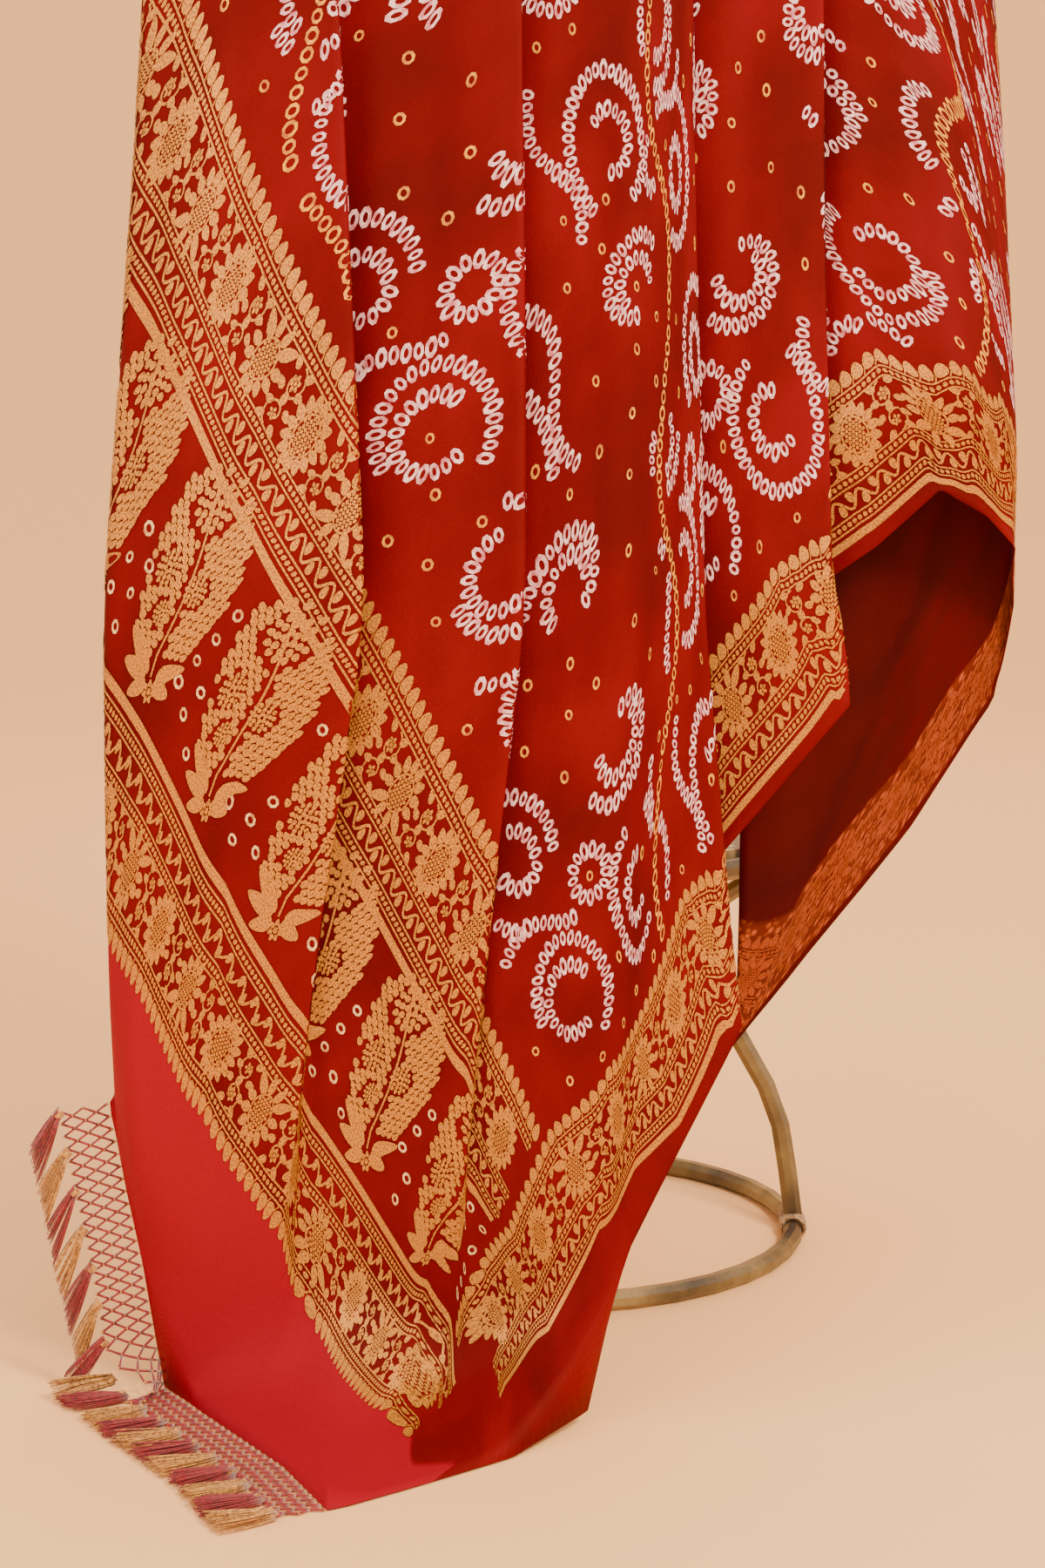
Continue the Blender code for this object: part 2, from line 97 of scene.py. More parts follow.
# Cloth: the same columns as the solid's, each a way from the hem, up the hanging side and over the rail.
columnNames = ("run", "top", "mid", "deep", "foot", "end", "over")
columns = (
    (0.000, -0.232, -0.268, -0.034, (-0.272, -0.345, 0.300), (-0.272, -0.335, 0.240), 0.0),
    (0.030, -0.250, -0.292, 0.008, (-0.296, -0.392, 0.300), (-0.296, -0.372, 0.205), 0.03),
    (0.080, -0.215, -0.255, 0.022, (-0.276, -0.400, 0.180), (-0.274, -0.376, 0.090), 0.10),
    (0.135, -0.175, -0.190, 0.026, (-0.246, -0.392, 0.085), (-0.262, -0.366, 0.001), 0.12),
    (0.190, -0.135, -0.115, 0.036, (-0.190, -0.400, 0.045), (-0.240, -0.402, 0.001), 0.12),
    (0.200, -0.137, -0.118, 0.026, (-0.186, -0.402, 0.040), (-0.236, -0.410, 0.001), 0.12),
    (0.240, -0.163, -0.152, 0.012, (-0.170, -0.402, 0.036), (-0.218, -0.440, 0.001), 0.12),
    (0.250, -0.162, -0.151, 0.002, (-0.164, -0.402, 0.034), (-0.212, -0.450, 0.001), 0.12),
    (0.320, -0.088, -0.082, 0.018, (-0.118, -0.400, 0.024), (-0.170, -0.520, 0.001), 0.13),
    (0.395, -0.014, -0.012, 0.036, (-0.072, -0.404, 0.020), (-0.1375, -0.597, 0.001), 0.14),
    (0.405, -0.016, -0.014, 0.026, (-0.066, -0.404, 0.018), (-0.124, -0.589, 0.001), 0.14),
    (0.450, -0.064, -0.062, 0.012, (-0.050, -0.408, 0.014), (-0.090, -0.562, 0.001), 0.15),
    (0.460, -0.063, -0.061, 0.002, (-0.044, -0.410, 0.014), (-0.078, -0.552, 0.001), 0.15),
    (0.530, 0.014, 0.018, 0.016, (-0.004, -0.424, 0.016), (-0.020, -0.503, 0.001), 0.17),
    (0.575, 0.055, 0.062, 0.026, (0.036, -0.428, 0.050), (0.030, -0.440, 0.010), 0.18),
    (0.595, 0.074, 0.083, 0.030, (0.060, -0.436, 0.200), (0.052, -0.434, 0.110), 0.19),
    (0.640, 0.092, 0.104, 0.036, (0.122, -0.442, 0.340), (0.131, -0.442, 0.275), 0.20),
    (0.650, 0.090, 0.102, 0.026, (0.120, -0.432, 0.350), (0.128, -0.432, 0.284), 0.20),
    (0.700, 0.036, 0.046, 0.012, (0.060, -0.418, 0.370), (0.066, -0.418, 0.318), 0.22),
    (0.710, 0.037, 0.047, 0.002, (0.062, -0.408, 0.380), (0.068, -0.408, 0.326), 0.22),
    (0.780, 0.105, 0.116, 0.018, (0.124, -0.422, 0.450), (0.126, -0.422, 0.398), 0.24),
    (0.850, 0.174, 0.186, 0.036, (0.196, -0.440, 0.530), (0.199, -0.440, 0.490), 0.26),
    (0.860, 0.172, 0.184, 0.026, (0.194, -0.430, 0.535), (0.197, -0.430, 0.497), 0.26),
    (0.905, 0.120, 0.132, 0.012, (0.141, -0.416, 0.565), (0.143, -0.416, 0.533), 0.26),
    (0.915, 0.121, 0.133, 0.002, (0.142, -0.406, 0.570), (0.144, -0.406, 0.539), 0.26),
    (0.980, 0.182, 0.204, 0.018, (0.216, -0.420, 0.620), (0.217, -0.420, 0.592), 0.24),
    (1.015, 0.218, 0.252, 0.030, (0.255, -0.432, 0.660), (0.256, -0.432, 0.630), 0.18),
    (1.055, 0.256, 0.286, 0.028, (0.288, -0.428, 0.640), (0.288, -0.428, 0.612), 0.08),
    (1.080, 0.277, 0.306, 0.012, (0.308, -0.410, 0.620), (0.308, -0.410, 0.590), 0.0),
    (1.110, 0.282, 0.311, -0.022, (0.313, -0.372, 0.580), (0.313, -0.372, 0.545), 0.0),
    (1.145, 0.262, 0.300, -0.036, (0.304, -0.352, 0.520), (0.304, -0.348, 0.480), 0.0),
    (1.210, 0.205, 0.243, -0.036, (0.247, -0.342, 0.440), (0.247, -0.338, 0.385), 0.0),
    (1.330, 0.128, 0.124, -0.036, (0.124, -0.340, 0.310), (0.122, -0.338, 0.225), 0.0),
)
clothPlan = {
    "thick": 0.002,
    "railY": -0.380,
    "arcStart": 1.080,
    "midHeight": 0.550,
    "curtainY": -0.394,
    "lean": 0.040,
    "topDepthShare": 0.75,
    "arcRise": 0.014,
    "flapFlare": 0.10,
    "flapLeast": 0.020,
    "railLeast": 0.100,
    "softShare": 0.04,
    "hangSamples": 240,
    "calmShare": 0.045,
    "calmTop": 0.150,
    "calmBand": 0.100,
    "columns": 330,
    "rows": (98, 18, 8),
    "cornerRun": 0.395,
    "creaseMm": 1.0,
}


def columnValues(run, name):
    # linear reading of one column of the table at the given distances
    place = columnNames.index(name)
    runs = np.array([row[0] for row in columns])
    values = np.array([row[place] for row in columns], float).reshape(len(columns), -1)
    return np.stack([np.interp(run, runs, values[:, i]) for i in range(values.shape[1])], axis=-1)


def runningMean(rows, reach):
    # mean over neighbouring rows, the first and last row repeated past the ends
    kernel = np.ones(2 * reach + 1) / (2 * reach + 1)
    padded = np.concatenate([np.repeat(rows[:1], reach, 0), rows, np.repeat(rows[-1:], reach, 0)])
    return np.apply_along_axis(lambda line: np.convolve(line, kernel, "valid"), 0, padded)


def softened(path, share):
    # the path's running mean, its two ends kept
    soft = runningMean(path, max(1, int(share * len(path))))
    soft[[0, -1]] = path[[0, -1]]
    return soft


def unit(vectors):
    return vectors / np.linalg.norm(vectors, axis=-1, keepdims=True)


def raised(points, least):
    # points moved up to the least height over the floor
    points[..., 2] = np.maximum(points[..., 2], least)
    return points


def lengthsOf(points):
    return np.concatenate([[0.0], np.cumsum(np.linalg.norm(np.diff(points, axis=0), axis=1))])


def atLengths(points, lengths, wanted):
    return np.stack([np.interp(wanted, lengths, points[:, i]) for i in range(points.shape[1])], axis=1)


def columnPath(run):
    # one column: hem, foot, hanging plane, a round over the rail, then straight down behind it
    plan = clothPlan
    top, mid, deep, over = (columnValues(run, name)[0] for name in ("top", "mid", "deep", "over"))
    foot, end = columnValues(run, "foot"), columnValues(run, "end")
    front = plan["curtainY"] - max(deep, 0.0) * plan["topDepthShare"] - min(deep, 0.0)
    lean = plan["lean"] * (plan["arcStart"] - plan["midHeight"]) * min(max(deep, 0.0) / 0.002, 1.0)
    middle = np.array([mid, plan["curtainY"] - deep - lean, max(plan["midHeight"], foot[2] + 0.04)])
    stops = np.array([end, foot, middle, np.array([top, front, plan["arcStart"]])])
    lengths = lengthsOf(stops)
    hanging = softened(atLengths(stops, lengths, np.linspace(0, lengths[-1], plan["hangSamples"])),
                       plan["softShare"])
    radius = max(plan["railY"] - front, 0.0)
    curl = min(over, math.pi * radius)
    points = np.zeros((0, 3))
    if curl > 0.0:
        turn = np.linspace(0.0, curl / radius, 24)[1:]
        points = np.stack([np.full(len(turn), top), plan["railY"] - radius * np.cos(turn),
                           plan["arcStart"] + (radius + plan["arcRise"]) * np.sin(turn)], axis=1)
        if over > curl:
            fall = over - curl
            points = np.vstack([points, points[-1] + (0.0, plan["flapFlare"] * fall, -fall)])
    path = np.concatenate([hanging, points])
    return raised(path, plan["thick"] / 2), over, max(over - curl, plan["flapLeast"])


def clothGrid():
    # the middle surface as (columns, rows, 3), with each point's height when the cloth is laid straight
    plan = clothPlan
    runs = np.array([row[0] for row in columns])
    even = np.interp(np.linspace(0, len(columns) - 1, plan["columns"]), np.arange(len(columns)), runs)
    hangRows, railRows, flapRows = plan["rows"]
    grid, laid = [], []
    for run in even:
        path, over, flap = columnPath(run)
        lengths = lengthsOf(path)
        total = lengths[-1]
        first = total - over - plan["railLeast"] * (1.0 - min(over / plan["railLeast"], 1.0))
        wanted = np.concatenate([
            np.linspace(0.0, first, hangRows, endpoint=False),
            np.linspace(first, total - flap, railRows, endpoint=False),
            np.linspace(total - flap, total, flapRows),
        ])
        grid.append(atLengths(path, lengths, wanted))
        laid.append(plan["arcStart"] + wanted - (total - over))
    return np.array(grid), np.array(laid), even


def gridNormals(grid):
    normal = np.cross(np.gradient(grid, axis=0), np.gradient(grid, axis=1))
    return normal / np.maximum(np.linalg.norm(normal, axis=2, keepdims=True), 1e-9)


def shapedGrid():
    # pleats opened near the floor, folds rounded, and shallow hanging creases pressed in
    plan = clothPlan
    grid, laid, even = clothGrid()
    mean = runningMean(grid, max(2, int(round(plan["calmShare"] * len(grid)))))
    weight = np.clip((plan["calmTop"] - grid[:, :, 2:]) / plan["calmBand"], 0.0, 1.0)
    weight[:, 0] = 0.0
    grid = grid * (1 - weight) + mean * weight
    hem = grid[:, 0]
    grid = runningMean(grid, 3)
    grid[:, 0] = hem
    run = even[:, None]
    wave = np.sin(run * 230 + 5 * np.sin(laid * 3.1)) * 0.5 + np.sin(run * 121 - laid * 6.0 + 1.0)
    wave = wave + 0.8 * np.sin(run * 62 + laid * 9.0 + 2.0)
    hang = np.clip((grid[:, :, 2] - 0.06) / 0.2, 0, 1) * np.clip((1.06 - grid[:, :, 2]) / 0.2, 0, 1)
    grid = grid + gridNormals(grid) * (wave * hang * plan["creaseMm"] / 1000 * 0.6)[..., None]
    return raised(grid, plan["thick"] / 2), laid, even


clothPoints, laidHeight, clothRuns = shapedGrid()
middleRow = clothPlan["rows"][0] // 2
acrossCloth = lengthsOf(clothPoints[:, middleRow])
print("cloth folds worked out, developed width", round(acrossCloth[-1], 3))

# Flat places: u runs along the length from the tasselled end, w across it from the near selvedge.
cornerColumn = int(np.argmin(abs(clothRuns - clothPlan["cornerRun"])))
hemAcross, hemHeight = acrossCloth[cornerColumn:], laidHeight[cornerColumn:, 0]
hemLength = np.concatenate([[0.0], np.cumsum(np.hypot(np.diff(hemAcross), np.diff(hemHeight)))])
# the crosswise threads fan out: where each meets the selvedge, its lean and its bow, and how far in the
# selvedge border sits, all against the length u
fanPlan = {
    "u": (0.0, 0.115, 0.335, 0.600),
    "hem": (0.0, 0.130, 0.300, 0.565),
    "lean": (1.01, 0.895, 0.675, 0.400),
    "sag": (0.028, 0.055, 0.020, 0.0),
    "sagSpan": (0.50, 0.60, 0.88, 1.00),
    "marginU": (0.08, 0.20, 0.38, 0.52),
    "margin": (0.0, 0.050, 0.050, 0.0),
}


def hemAt(u):
    # where the selvedge lies, straight on past both ends
    plan = fanPlan
    after = u - plan["u"][-1]
    length = np.where(after > 0, after + plan["hem"][-1], np.interp(u, plan["u"], plan["hem"]))
    beyond = np.minimum(u, 0.0)
    past = np.maximum(length - hemLength[-1], 0.0)
    across = np.interp(length, hemLength, hemAcross) + beyond * 0.7 + past * 0.75
    height = np.interp(length, hemLength, hemHeight) + beyond * 0.7 + past * -0.3
    return across, height


def slantAt(u):
    return np.interp(u, fanPlan["u"], fanPlan["lean"])


def sagAt(u, height):
    # how far a crosswise thread bows towards the tasselled end, at a height over the selvedge
    share = np.clip(height / np.interp(u, fanPlan["u"], fanPlan["sagSpan"]), 0.0, 1.0)
    return np.interp(u, fanPlan["u"], fanPlan["sag"]) * np.sin(math.pi * share)


def marginAt(u):
    return np.interp(u, fanPlan["marginU"], fanPlan["margin"])


def flatPlace(across, height):
    # halves the gap until it is on the crosswise thread that passes through each point
    low = np.full(across.shape, -0.3)
    high = np.full(across.shape, hemLength[-1] + 1.2)
    halvings = 34
    for _ in range(halvings):
        middle = (low + high) / 2
        hemX, hemZ = hemAt(middle)
        past = hemX - slantAt(middle) * (height - hemZ) - sagAt(middle, height - hemZ) > across
        high = np.where(past, middle, high)
        low = np.where(past, low, middle)
    u = (low + high) / 2
    hemX, hemZ = hemAt(u)
    return u, (height - hemZ) * np.sqrt(1 + slantAt(u) ** 2) - marginAt(u)


gridU, gridW = flatPlace(np.broadcast_to(acrossCloth[:, None], laidHeight.shape), laidHeight)
print("flat places worked out, length", np.ptp(gridU).round(3), "width", np.ptp(gridW).round(3))

# The same surface on even steps of laid height, to carry ornament from flat places to the folds.
levelStep = 0.004
levels = np.arange(laidHeight.min(), laidHeight.max(), levelStep)
clothNormals = gridNormals(clothPoints)


def onLevels(values):
    # each column read at the even heights, with nothing past its own ends
    def column(c, axis):
        return np.interp(levels, laidHeight[c], values[c, :, axis], left=np.nan, right=np.nan)

    return np.array([np.stack([column(c, axis) for axis in range(3)], 1) for c in range(len(values))])


levelPoints, levelNormals = onLevels(clothPoints), onLevels(clothNormals)


def ontoCloth(flat, lift):
    # flat (n, 2) places to (n, 3) points that stand lift metres off the right side
    hemX, hemZ = hemAt(flat[:, 0])
    slant = slantAt(flat[:, 0])
    rise = (flat[:, 1] + marginAt(flat[:, 0])) / np.sqrt(1 + slant**2)
    bowed = hemX - slant * rise - sagAt(flat[:, 0], rise)
    column = np.interp(bowed, acrossCloth, np.arange(len(acrossCloth)), left=np.nan, right=np.nan)
    level = (hemZ + rise - levels[0]) / levelStep
    out = (column != column) | (level < 0) | (level > len(levels) - 1.001)
    column, level = np.where(out, 0, column), np.where(out, 0, level)
    c0 = np.minimum(column.astype(int), len(acrossCloth) - 2)
    l0 = level.astype(int)
    cf, lf = (column - c0)[:, None], (level - l0)[:, None]

    def read(field):
        near = field[c0, l0] * (1 - lf) + field[c0, l0 + 1] * lf
        return near * (1 - cf) + (field[c0 + 1, l0] * (1 - lf) + field[c0 + 1, l0 + 1] * lf) * cf

    points = read(levelPoints) + read(levelNormals) * lift
    points[out] = np.nan
    return points + originShift


# Ornament: every shape is drawn in flat metres, stamped many times, then laid onto the folds.
def ribbon(path, width, closed=False):
    # two rows of points, half a width to each side of the path
    path = np.asarray(path, float)
    if closed:
        ahead = np.roll(path, -1, 0) - np.roll(path, 1, 0)
    else:
        ahead = np.gradient(path, axis=0)
    ahead = ahead / np.maximum(np.linalg.norm(ahead, axis=1, keepdims=True), 1e-9)
    side = np.stack([-ahead[:, 1], ahead[:, 0]], 1) * width / 2
    count = len(path)
    low = np.arange(count if closed else count - 1)
    high = (low + 1) % count
    faces = np.stack([low, low + count, high + count, high], 1)
    return np.vstack([path + side, path - side]), faces


def patch(outline):
    # a filled outline as thin quads from its middle
    outline = np.asarray(outline, float)
    count = len(outline)
    low = np.arange(0, count, 2)
    faces = np.stack([np.full(len(low), count), low, (low + 1) % count, (low + 2) % count], 1)
    return np.vstack([outline, outline.mean(0)]), faces


def drop(length, width, count=12):
    # teardrop: pointed at both ends of y, widest a third of the way up
    t = np.linspace(0, 2 * math.pi, count, endpoint=False)
    y = (1 - np.cos(t)) / 2
    x = np.sin(t) * (1 - 0.45 * y) * width * 0.62
    return np.stack([x, y * length], 1)


def turned(shape, angle, move=(0.0, 0.0), scale=1.0):
    points, faces = shape
    c, s = math.cos(angle), math.sin(angle)
    return points @ np.array([[c, s], [-s, c]]) * scale + np.array(move), faces


def joined(shapes):
    starts = np.cumsum([0] + [len(p) for p, _ in shapes[:-1]])
    return np.vstack([p for p, _ in shapes]), np.vstack([f + n for (_, f), n in zip(shapes, starts)])


def stamped(shape, places):
    # places (m, 4): x, y, angle, scale; all copies at once
    points, faces = shape
    places = np.asarray(places, float)
    c, s = np.cos(places[:, 2]), np.sin(places[:, 2])
    x = points[None, :, 0] * c[:, None] - points[None, :, 1] * s[:, None]
    y = points[None, :, 0] * s[:, None] + points[None, :, 1] * c[:, None]
    made = np.stack([x, y], 2) * places[:, 3, None, None] + places[:, None, :2]
    steps = np.arange(len(places)) * len(points)
    return made.reshape(-1, 2), (faces[None] + steps[:, None, None]).reshape(-1, faces.shape[1])


def placesAt(x, y, angle=0.0, scale=1.0):
    return np.column_stack(np.broadcast_arrays(x, y, angle, scale))


def layOn(name, flat, faces, lift, material):
    # keeps the faces whose corners all found cloth under them and that no cut edge stretches
    points = ontoCloth(flat, lift)
    good = np.isfinite(points[faces]).all(axis=(1, 2))
    reach = np.linalg.norm(points[faces] - points[faces][:, :1], axis=2).max(1)
    faces = faces[good & (reach < 0.02)]
    used, index = np.unique(faces, return_inverse=True)
    piece = meshPiece(name, points[used], index.reshape(faces.shape), material, uv=flat[used])
    print(name, len(faces), "faces")
    return piece


lotusPlan = {
    "core": (0.0092, 0.0112),
    "bead": 0.00125,
    "beadPitch": 0.0027,
    "petals": 15,
    "crownPetals": 8,
    "petal": (0.0088, 0.0064),
}


def staggered(along, across, shift):
    # a grid of places whose every other row is shifted along
    x, y = np.meshgrid(along, across)
    x[::2] += shift
    return x, y


def insideOval(pitch, wide, high):
    # places inside an oval
    steps = np.arange(-12, 13) * pitch
    x, y = staggered(steps, steps * 0.87, pitch / 2)
    keep = (x / wide) ** 2 + (y / high) ** 2 < 1
    return placesAt(x[keep], y[keep])


def lotusMedallion(spread=2 * math.pi):
    # beaded oval heart, a rim, and rounded petals round it, or only over part of it for the crowned kind
    plan = lotusPlan
    wide, high = plan["core"]
    rim = circleOf(wide, 20) * (1, high / wide)
    beads = insideOval(plan["beadPitch"], wide * 0.9, high * 0.9)
    shapes = [ribbon(rim, 0.0013, True), stamped(patch(circleOf(plan["bead"], 6)), beads)]
    whole = spread > 6
    count = plan["petals"] if whole else plan["crownPetals"]
    for k in range(count):
        angle = spread * (k / count if whole else k / (count - 1) - 0.5)
        place = (-math.sin(angle) * wide * 1.05, math.cos(angle) * high * 1.05)
        shapes.append(turned(patch(drop(*plan["petal"])), angle, place))
    if not whole:
        for side in (-1, 1):
            shapes.append(turned(patch(drop(0.0150, 0.0070)), side * 2.2, (-side * 0.006, -0.008)))
            shapes.append(turned(patch(drop(0.0110, 0.0060)), side * 2.8, (-side * 0.003, -0.011)))
    return joined(same(shapes))


def same(shapes):
    # every face a quad
    return [(p, f if f.shape[1] == 4 else np.column_stack([f, f[:, -1]])) for p, f in shapes]


def circleOf(radius, count, squash=1.0):
    t = np.linspace(0, 2 * math.pi, count, endpoint=False)
    return np.stack([radius * np.cos(t), radius * squash * np.sin(t)], 1)


def curlPath(radius, turns, count, start=0.0):
    # spiral whose radius shrinks with its angle
    t = np.linspace(0, turns * 2 * math.pi, count)
    shrink = radius * (1 - 0.75 * t / t[-1])
    return np.stack([shrink * np.cos(t + start), shrink * np.sin(t + start)], 1)


def rosette(petals, reach, long, wide):
    shapes = [patch(circleOf(reach * 0.8, 8))]
    for k in range(petals):
        angle = 2 * math.pi * k / petals
        place = (-math.sin(angle) * reach, math.cos(angle) * reach)
        shapes.append(turned(patch(drop(long, wide)), angle, place))
    return joined(same(shapes))


def betweenScroll():
    # two facing stems with leaves, a small flower and a bud
    shapes = [turned(ribbon(curlPath(0.0105, 1.0, 20, 1.57), 0.0015), 0.0, (0.0, 0.0100)),
              turned(ribbon(curlPath(0.0105, 1.0, 20, -1.57), 0.0015), 0.0, (0.0, -0.0100)),
              turned(rosette(6, 0.0018, 0.0034, 0.0030), 0.0, (0.0, 0.0105)),
              turned(rosette(5, 0.0014, 0.0030, 0.0026), 0.0, (0.0, -0.0110)),
              patch(circleOf(0.0034, 8, 1.4))]
    for x, y, angle, long in ((0.005, 0.016, -0.9, 0.0095), (-0.005, 0.016, 0.9, 0.0095),
                              (0.005, -0.016, -2.2, 0.0095), (-0.005, -0.016, 2.2, 0.0095),
                              (0.0065, 0.003, -1.3, 0.0090), (-0.0065, -0.003, 1.9, 0.0090),
                              (0.0060, -0.007, -1.8, 0.0080), (-0.0060, 0.007, 1.4, 0.0080)):
        shapes.append(turned(patch(drop(long, 0.0058)), angle, (x, y)))
    return joined(same(shapes))


borderPlan = {
    "width": 0.115,
    "pitch": 0.062,
    "step": 0.004,
    "beadPitch": 0.0046,
    "lotusLine": 0.0705,
    "scallopLine": 0.0995,
    "scale": 0.92,
}


def borderStrip(start, stop):
    # one woven border, along x from start to stop and across y from its plain edge at 0 to its scallops
    plan = borderPlan
    start, stop = start / plan["scale"], stop / plan["scale"]
    along = np.arange(start, stop, plan["step"])
    shapes = []
    for y, width in ((0.0135, 0.0056), (0.0196, 0.0013), (0.0268, 0.0013), (0.0440, 0.0013),
                     (0.0512, 0.0013), (0.0905, 0.0013), (0.0977, 0.0013)):
        shapes.append(ribbon(np.stack([along, np.full(len(along), y)], 1), width))
    bead = patch(circleOf(0.0019, 6))
    beads = np.arange(start, stop, plan["beadPitch"])
    for y in (0.0232, 0.0476, 0.0941):
        shapes.append(stamped(bead, placesAt(beads, y)))
    fine = np.arange(start, stop, plan["step"] / 2)
    waveMiddle, waveLength = 0.0354, 0.020
    wave = waveMiddle + 0.0052 * np.sin(fine * 2 * math.pi / waveLength)
    shapes.append(ribbon(np.stack([fine, wave], 1), 0.0020))
    bells = np.arange(start, stop, waveLength / 2) + waveLength / 4
    flip = (np.arange(len(bells)) % 2) * math.pi
    bell = patch(drop(0.0085, 0.0058))
    shapes.append(stamped(bell, placesAt(bells, waveMiddle + np.where(flip > 0, 0.0070, -0.0070), flip)))
    spots = np.arange(start + plan["pitch"] / 2, stop, plan["pitch"])
    for k, medallion in enumerate((lotusMedallion(), lotusMedallion(3.4))):
        own = spots[k::2]
        turn = np.where(np.arange(len(own)) % 2, math.pi, 0.0) if k else own * 0
        shapes.append(stamped(medallion, placesAt(own, plan["lotusLine"], turn, 1.08)))
    between = spots + plan["pitch"] / 2
    shapes.append(stamped(betweenScroll(), placesAt(between, plan["lotusLine"], 0.0, 0.92)))
    stalk = ribbon(np.array([(0.004, -0.0010), (0.006, 0.003)]), 0.0010)
    scallop = joined(same([patch(drop(0.0112, 0.0098)), stalk]))
    leaves = np.arange(start, stop, plan["pitch"] / 6)
    shapes.append(stamped(scallop, placesAt(leaves, plan["scallopLine"])))
    points, faces = joined(same(shapes))
    return points * plan["scale"], faces


zones = {"borderA": 0.181, "borderB": 0.269, "sideEnd": 2.05, "clothWidth": 1.20, "bodyStart": 0.382}


def kalgaBouquet():
    # a leaning spray that fills a mango shape: curved stem, rosettes, tip flower, plume leaves at the foot
    length, wide = 0.128, 0.034
    t = np.linspace(0, 1, 22)
    stem = np.stack([0.010 * np.sin(t * 3.1), 0.004 + (length - 0.010) * t], 1)
    shapes = [ribbon(stem, 0.0018)]
    flower = np.array([0.006, length - 0.022])
    heads = [(flower, 0.0160), (np.array([-0.014, 0.066]), 0.0105), (np.array([0.017, 0.056]), 0.0095),
             (np.array([-0.006, 0.040]), 0.0075)]
    for middle, radius in heads:
        for ring, count in ((0.10, 5), (0.42, 9), (0.72, 13)):
            for k in range(count):
                angle = 2 * math.pi * (k + ring * 3) / count
                place = middle + np.array([-math.sin(angle), math.cos(angle)]) * radius * ring
                shapes.append(turned(patch(drop(radius * 0.36, radius * 0.34, 10)), angle, place))
    x, y = staggered(np.arange(-0.045, 0.046, 0.0056), np.arange(0.018, length + 0.002, 0.0050), 0.0028)
    share = y / length
    reach = wide * np.sqrt(np.clip(np.sin(math.pi * np.clip(share, 0, 1) ** 1.15), 0, 1)) + 0.004
    bend = np.interp(y, stem[:, 1], stem[:, 0])
    keep = (abs(x - bend) < reach) & (abs(x - bend) > 0.0020)
    for middle, radius in heads:
        keep &= np.hypot(x - middle[0], y - middle[1]) > radius * 1.16
    angle = -np.sign(x - bend) * (1.05 - 0.5 * share)
    leaf = patch(drop(0.0074, 0.0056, 8))
    leaves = np.stack([x[keep], y[keep] - 0.003, angle[keep], 0.95 + 0.1 * np.sin(x[keep] * 900)], 1)
    shapes.append(stamped(leaf, leaves))
    for footX, footY, turn, long in ((-0.006, 0.004, 1.15, 0.030), (-0.004, 0.006, 0.78, 0.036),
                                     (0.006, 0.002, -1.25, 0.028), (0.004, 0.000, -1.9, 0.020),
                                     (-0.004, 0.000, 1.7, 0.020)):
        shapes.append(turned(patch(drop(long, 0.0105, 16)), turn, (footX, footY)))
    shapes.append(turned(rosette(7, 0.0026, 0.0042, 0.0036), 0.0, (0.001, -0.004)))
    return joined(same(shapes))


def toCross(shape, edge, outward):
    # a border across the cloth: its run lies along w, its width along u
    points, faces = shape
    if outward > 0:
        faces = faces[:, ::-1]
    return np.stack([edge + outward * points[:, 1], points[:, 0]], 1), faces


# Tie-dyed dots: each is a small puckered ring round a red heart.
def dotRing(wide, high, hole):
    # squarish ring, as a tied pinch of cloth opens
    t = np.linspace(0, 2 * math.pi, 8, endpoint=False) + math.pi / 8
    outer = np.stack([np.cos(t) * wide, np.sin(t) * high], 1) * 1.05
    low = np.arange(8)
    faces = np.stack([low, (low + 1) % 8, (low + 1) % 8 + 8, low + 8], 1)
    return np.vstack([outer, outer * (hole, hole * 1.15)]), faces


def alongPath(path, pitch):
    # points and directions at even steps along a path
    lengths = lengthsOf(path)
    wanted = np.arange(0, lengths[-1], pitch)
    places = atLengths(path, lengths, wanted)
    ahead = np.gradient(places, axis=0) if len(places) > 1 else np.ones_like(places)
    return np.column_stack([places, np.arctan2(ahead[:, 1], ahead[:, 0])])


def arcPath(centre, radius, start, stop, squash=1.0, drift=0.0):
    t = np.radians(np.linspace(start, stop, 40))
    r = radius * (1 + drift * np.linspace(0, 1, 40))
    return np.stack([centre[0] + r * np.cos(t), centre[1] + r * squash * np.sin(t)], 1)


dotPlan = {"pitch": 0.0072, "cell": 0.215, "vinePitch": 0.225, "spotPitch": 0.034}


def whiteCell():
    # one repeat of the body's figures: hooks, a paisley, a bird-like curl and a ringed flower
    figures = [
        arcPath((0.050, 0.052), 0.036, -60, 190, 1.15, -0.15),
        arcPath((0.050, 0.052), 0.020, 20, 300, 1.0, 0.2),
        arcPath((0.140, 0.070), 0.030, 100, 395, 1.35, 0.25),
        arcPath((0.140, 0.070), 0.014, 60, 300, 1.3, 0.2),
        arcPath((0.155, 0.160), 0.036, 200, 430, 0.9, -0.45),
        arcPath((0.155, 0.160), 0.021, 160, 380, 0.9, -0.3),
        arcPath((0.052, 0.155), 0.030, -20, 250, 1.2, 0.35),
        arcPath((0.052, 0.155), 0.015, -20, 320, 1.2, 0.1),
        arcPath((0.100, 0.110), 0.015, 0, 340),
        np.stack([np.linspace(0.012, 0.080, 20), 0.104 + 0.010 * np.sin(np.linspace(0, 5, 20))], 1),
        np.stack([0.190 + 0.010 * np.sin(np.linspace(0, 6, 24)), np.linspace(0.010, 0.110, 24)], 1),
    ]
    return np.vstack([alongPath(f, dotPlan["pitch"]) for f in figures])


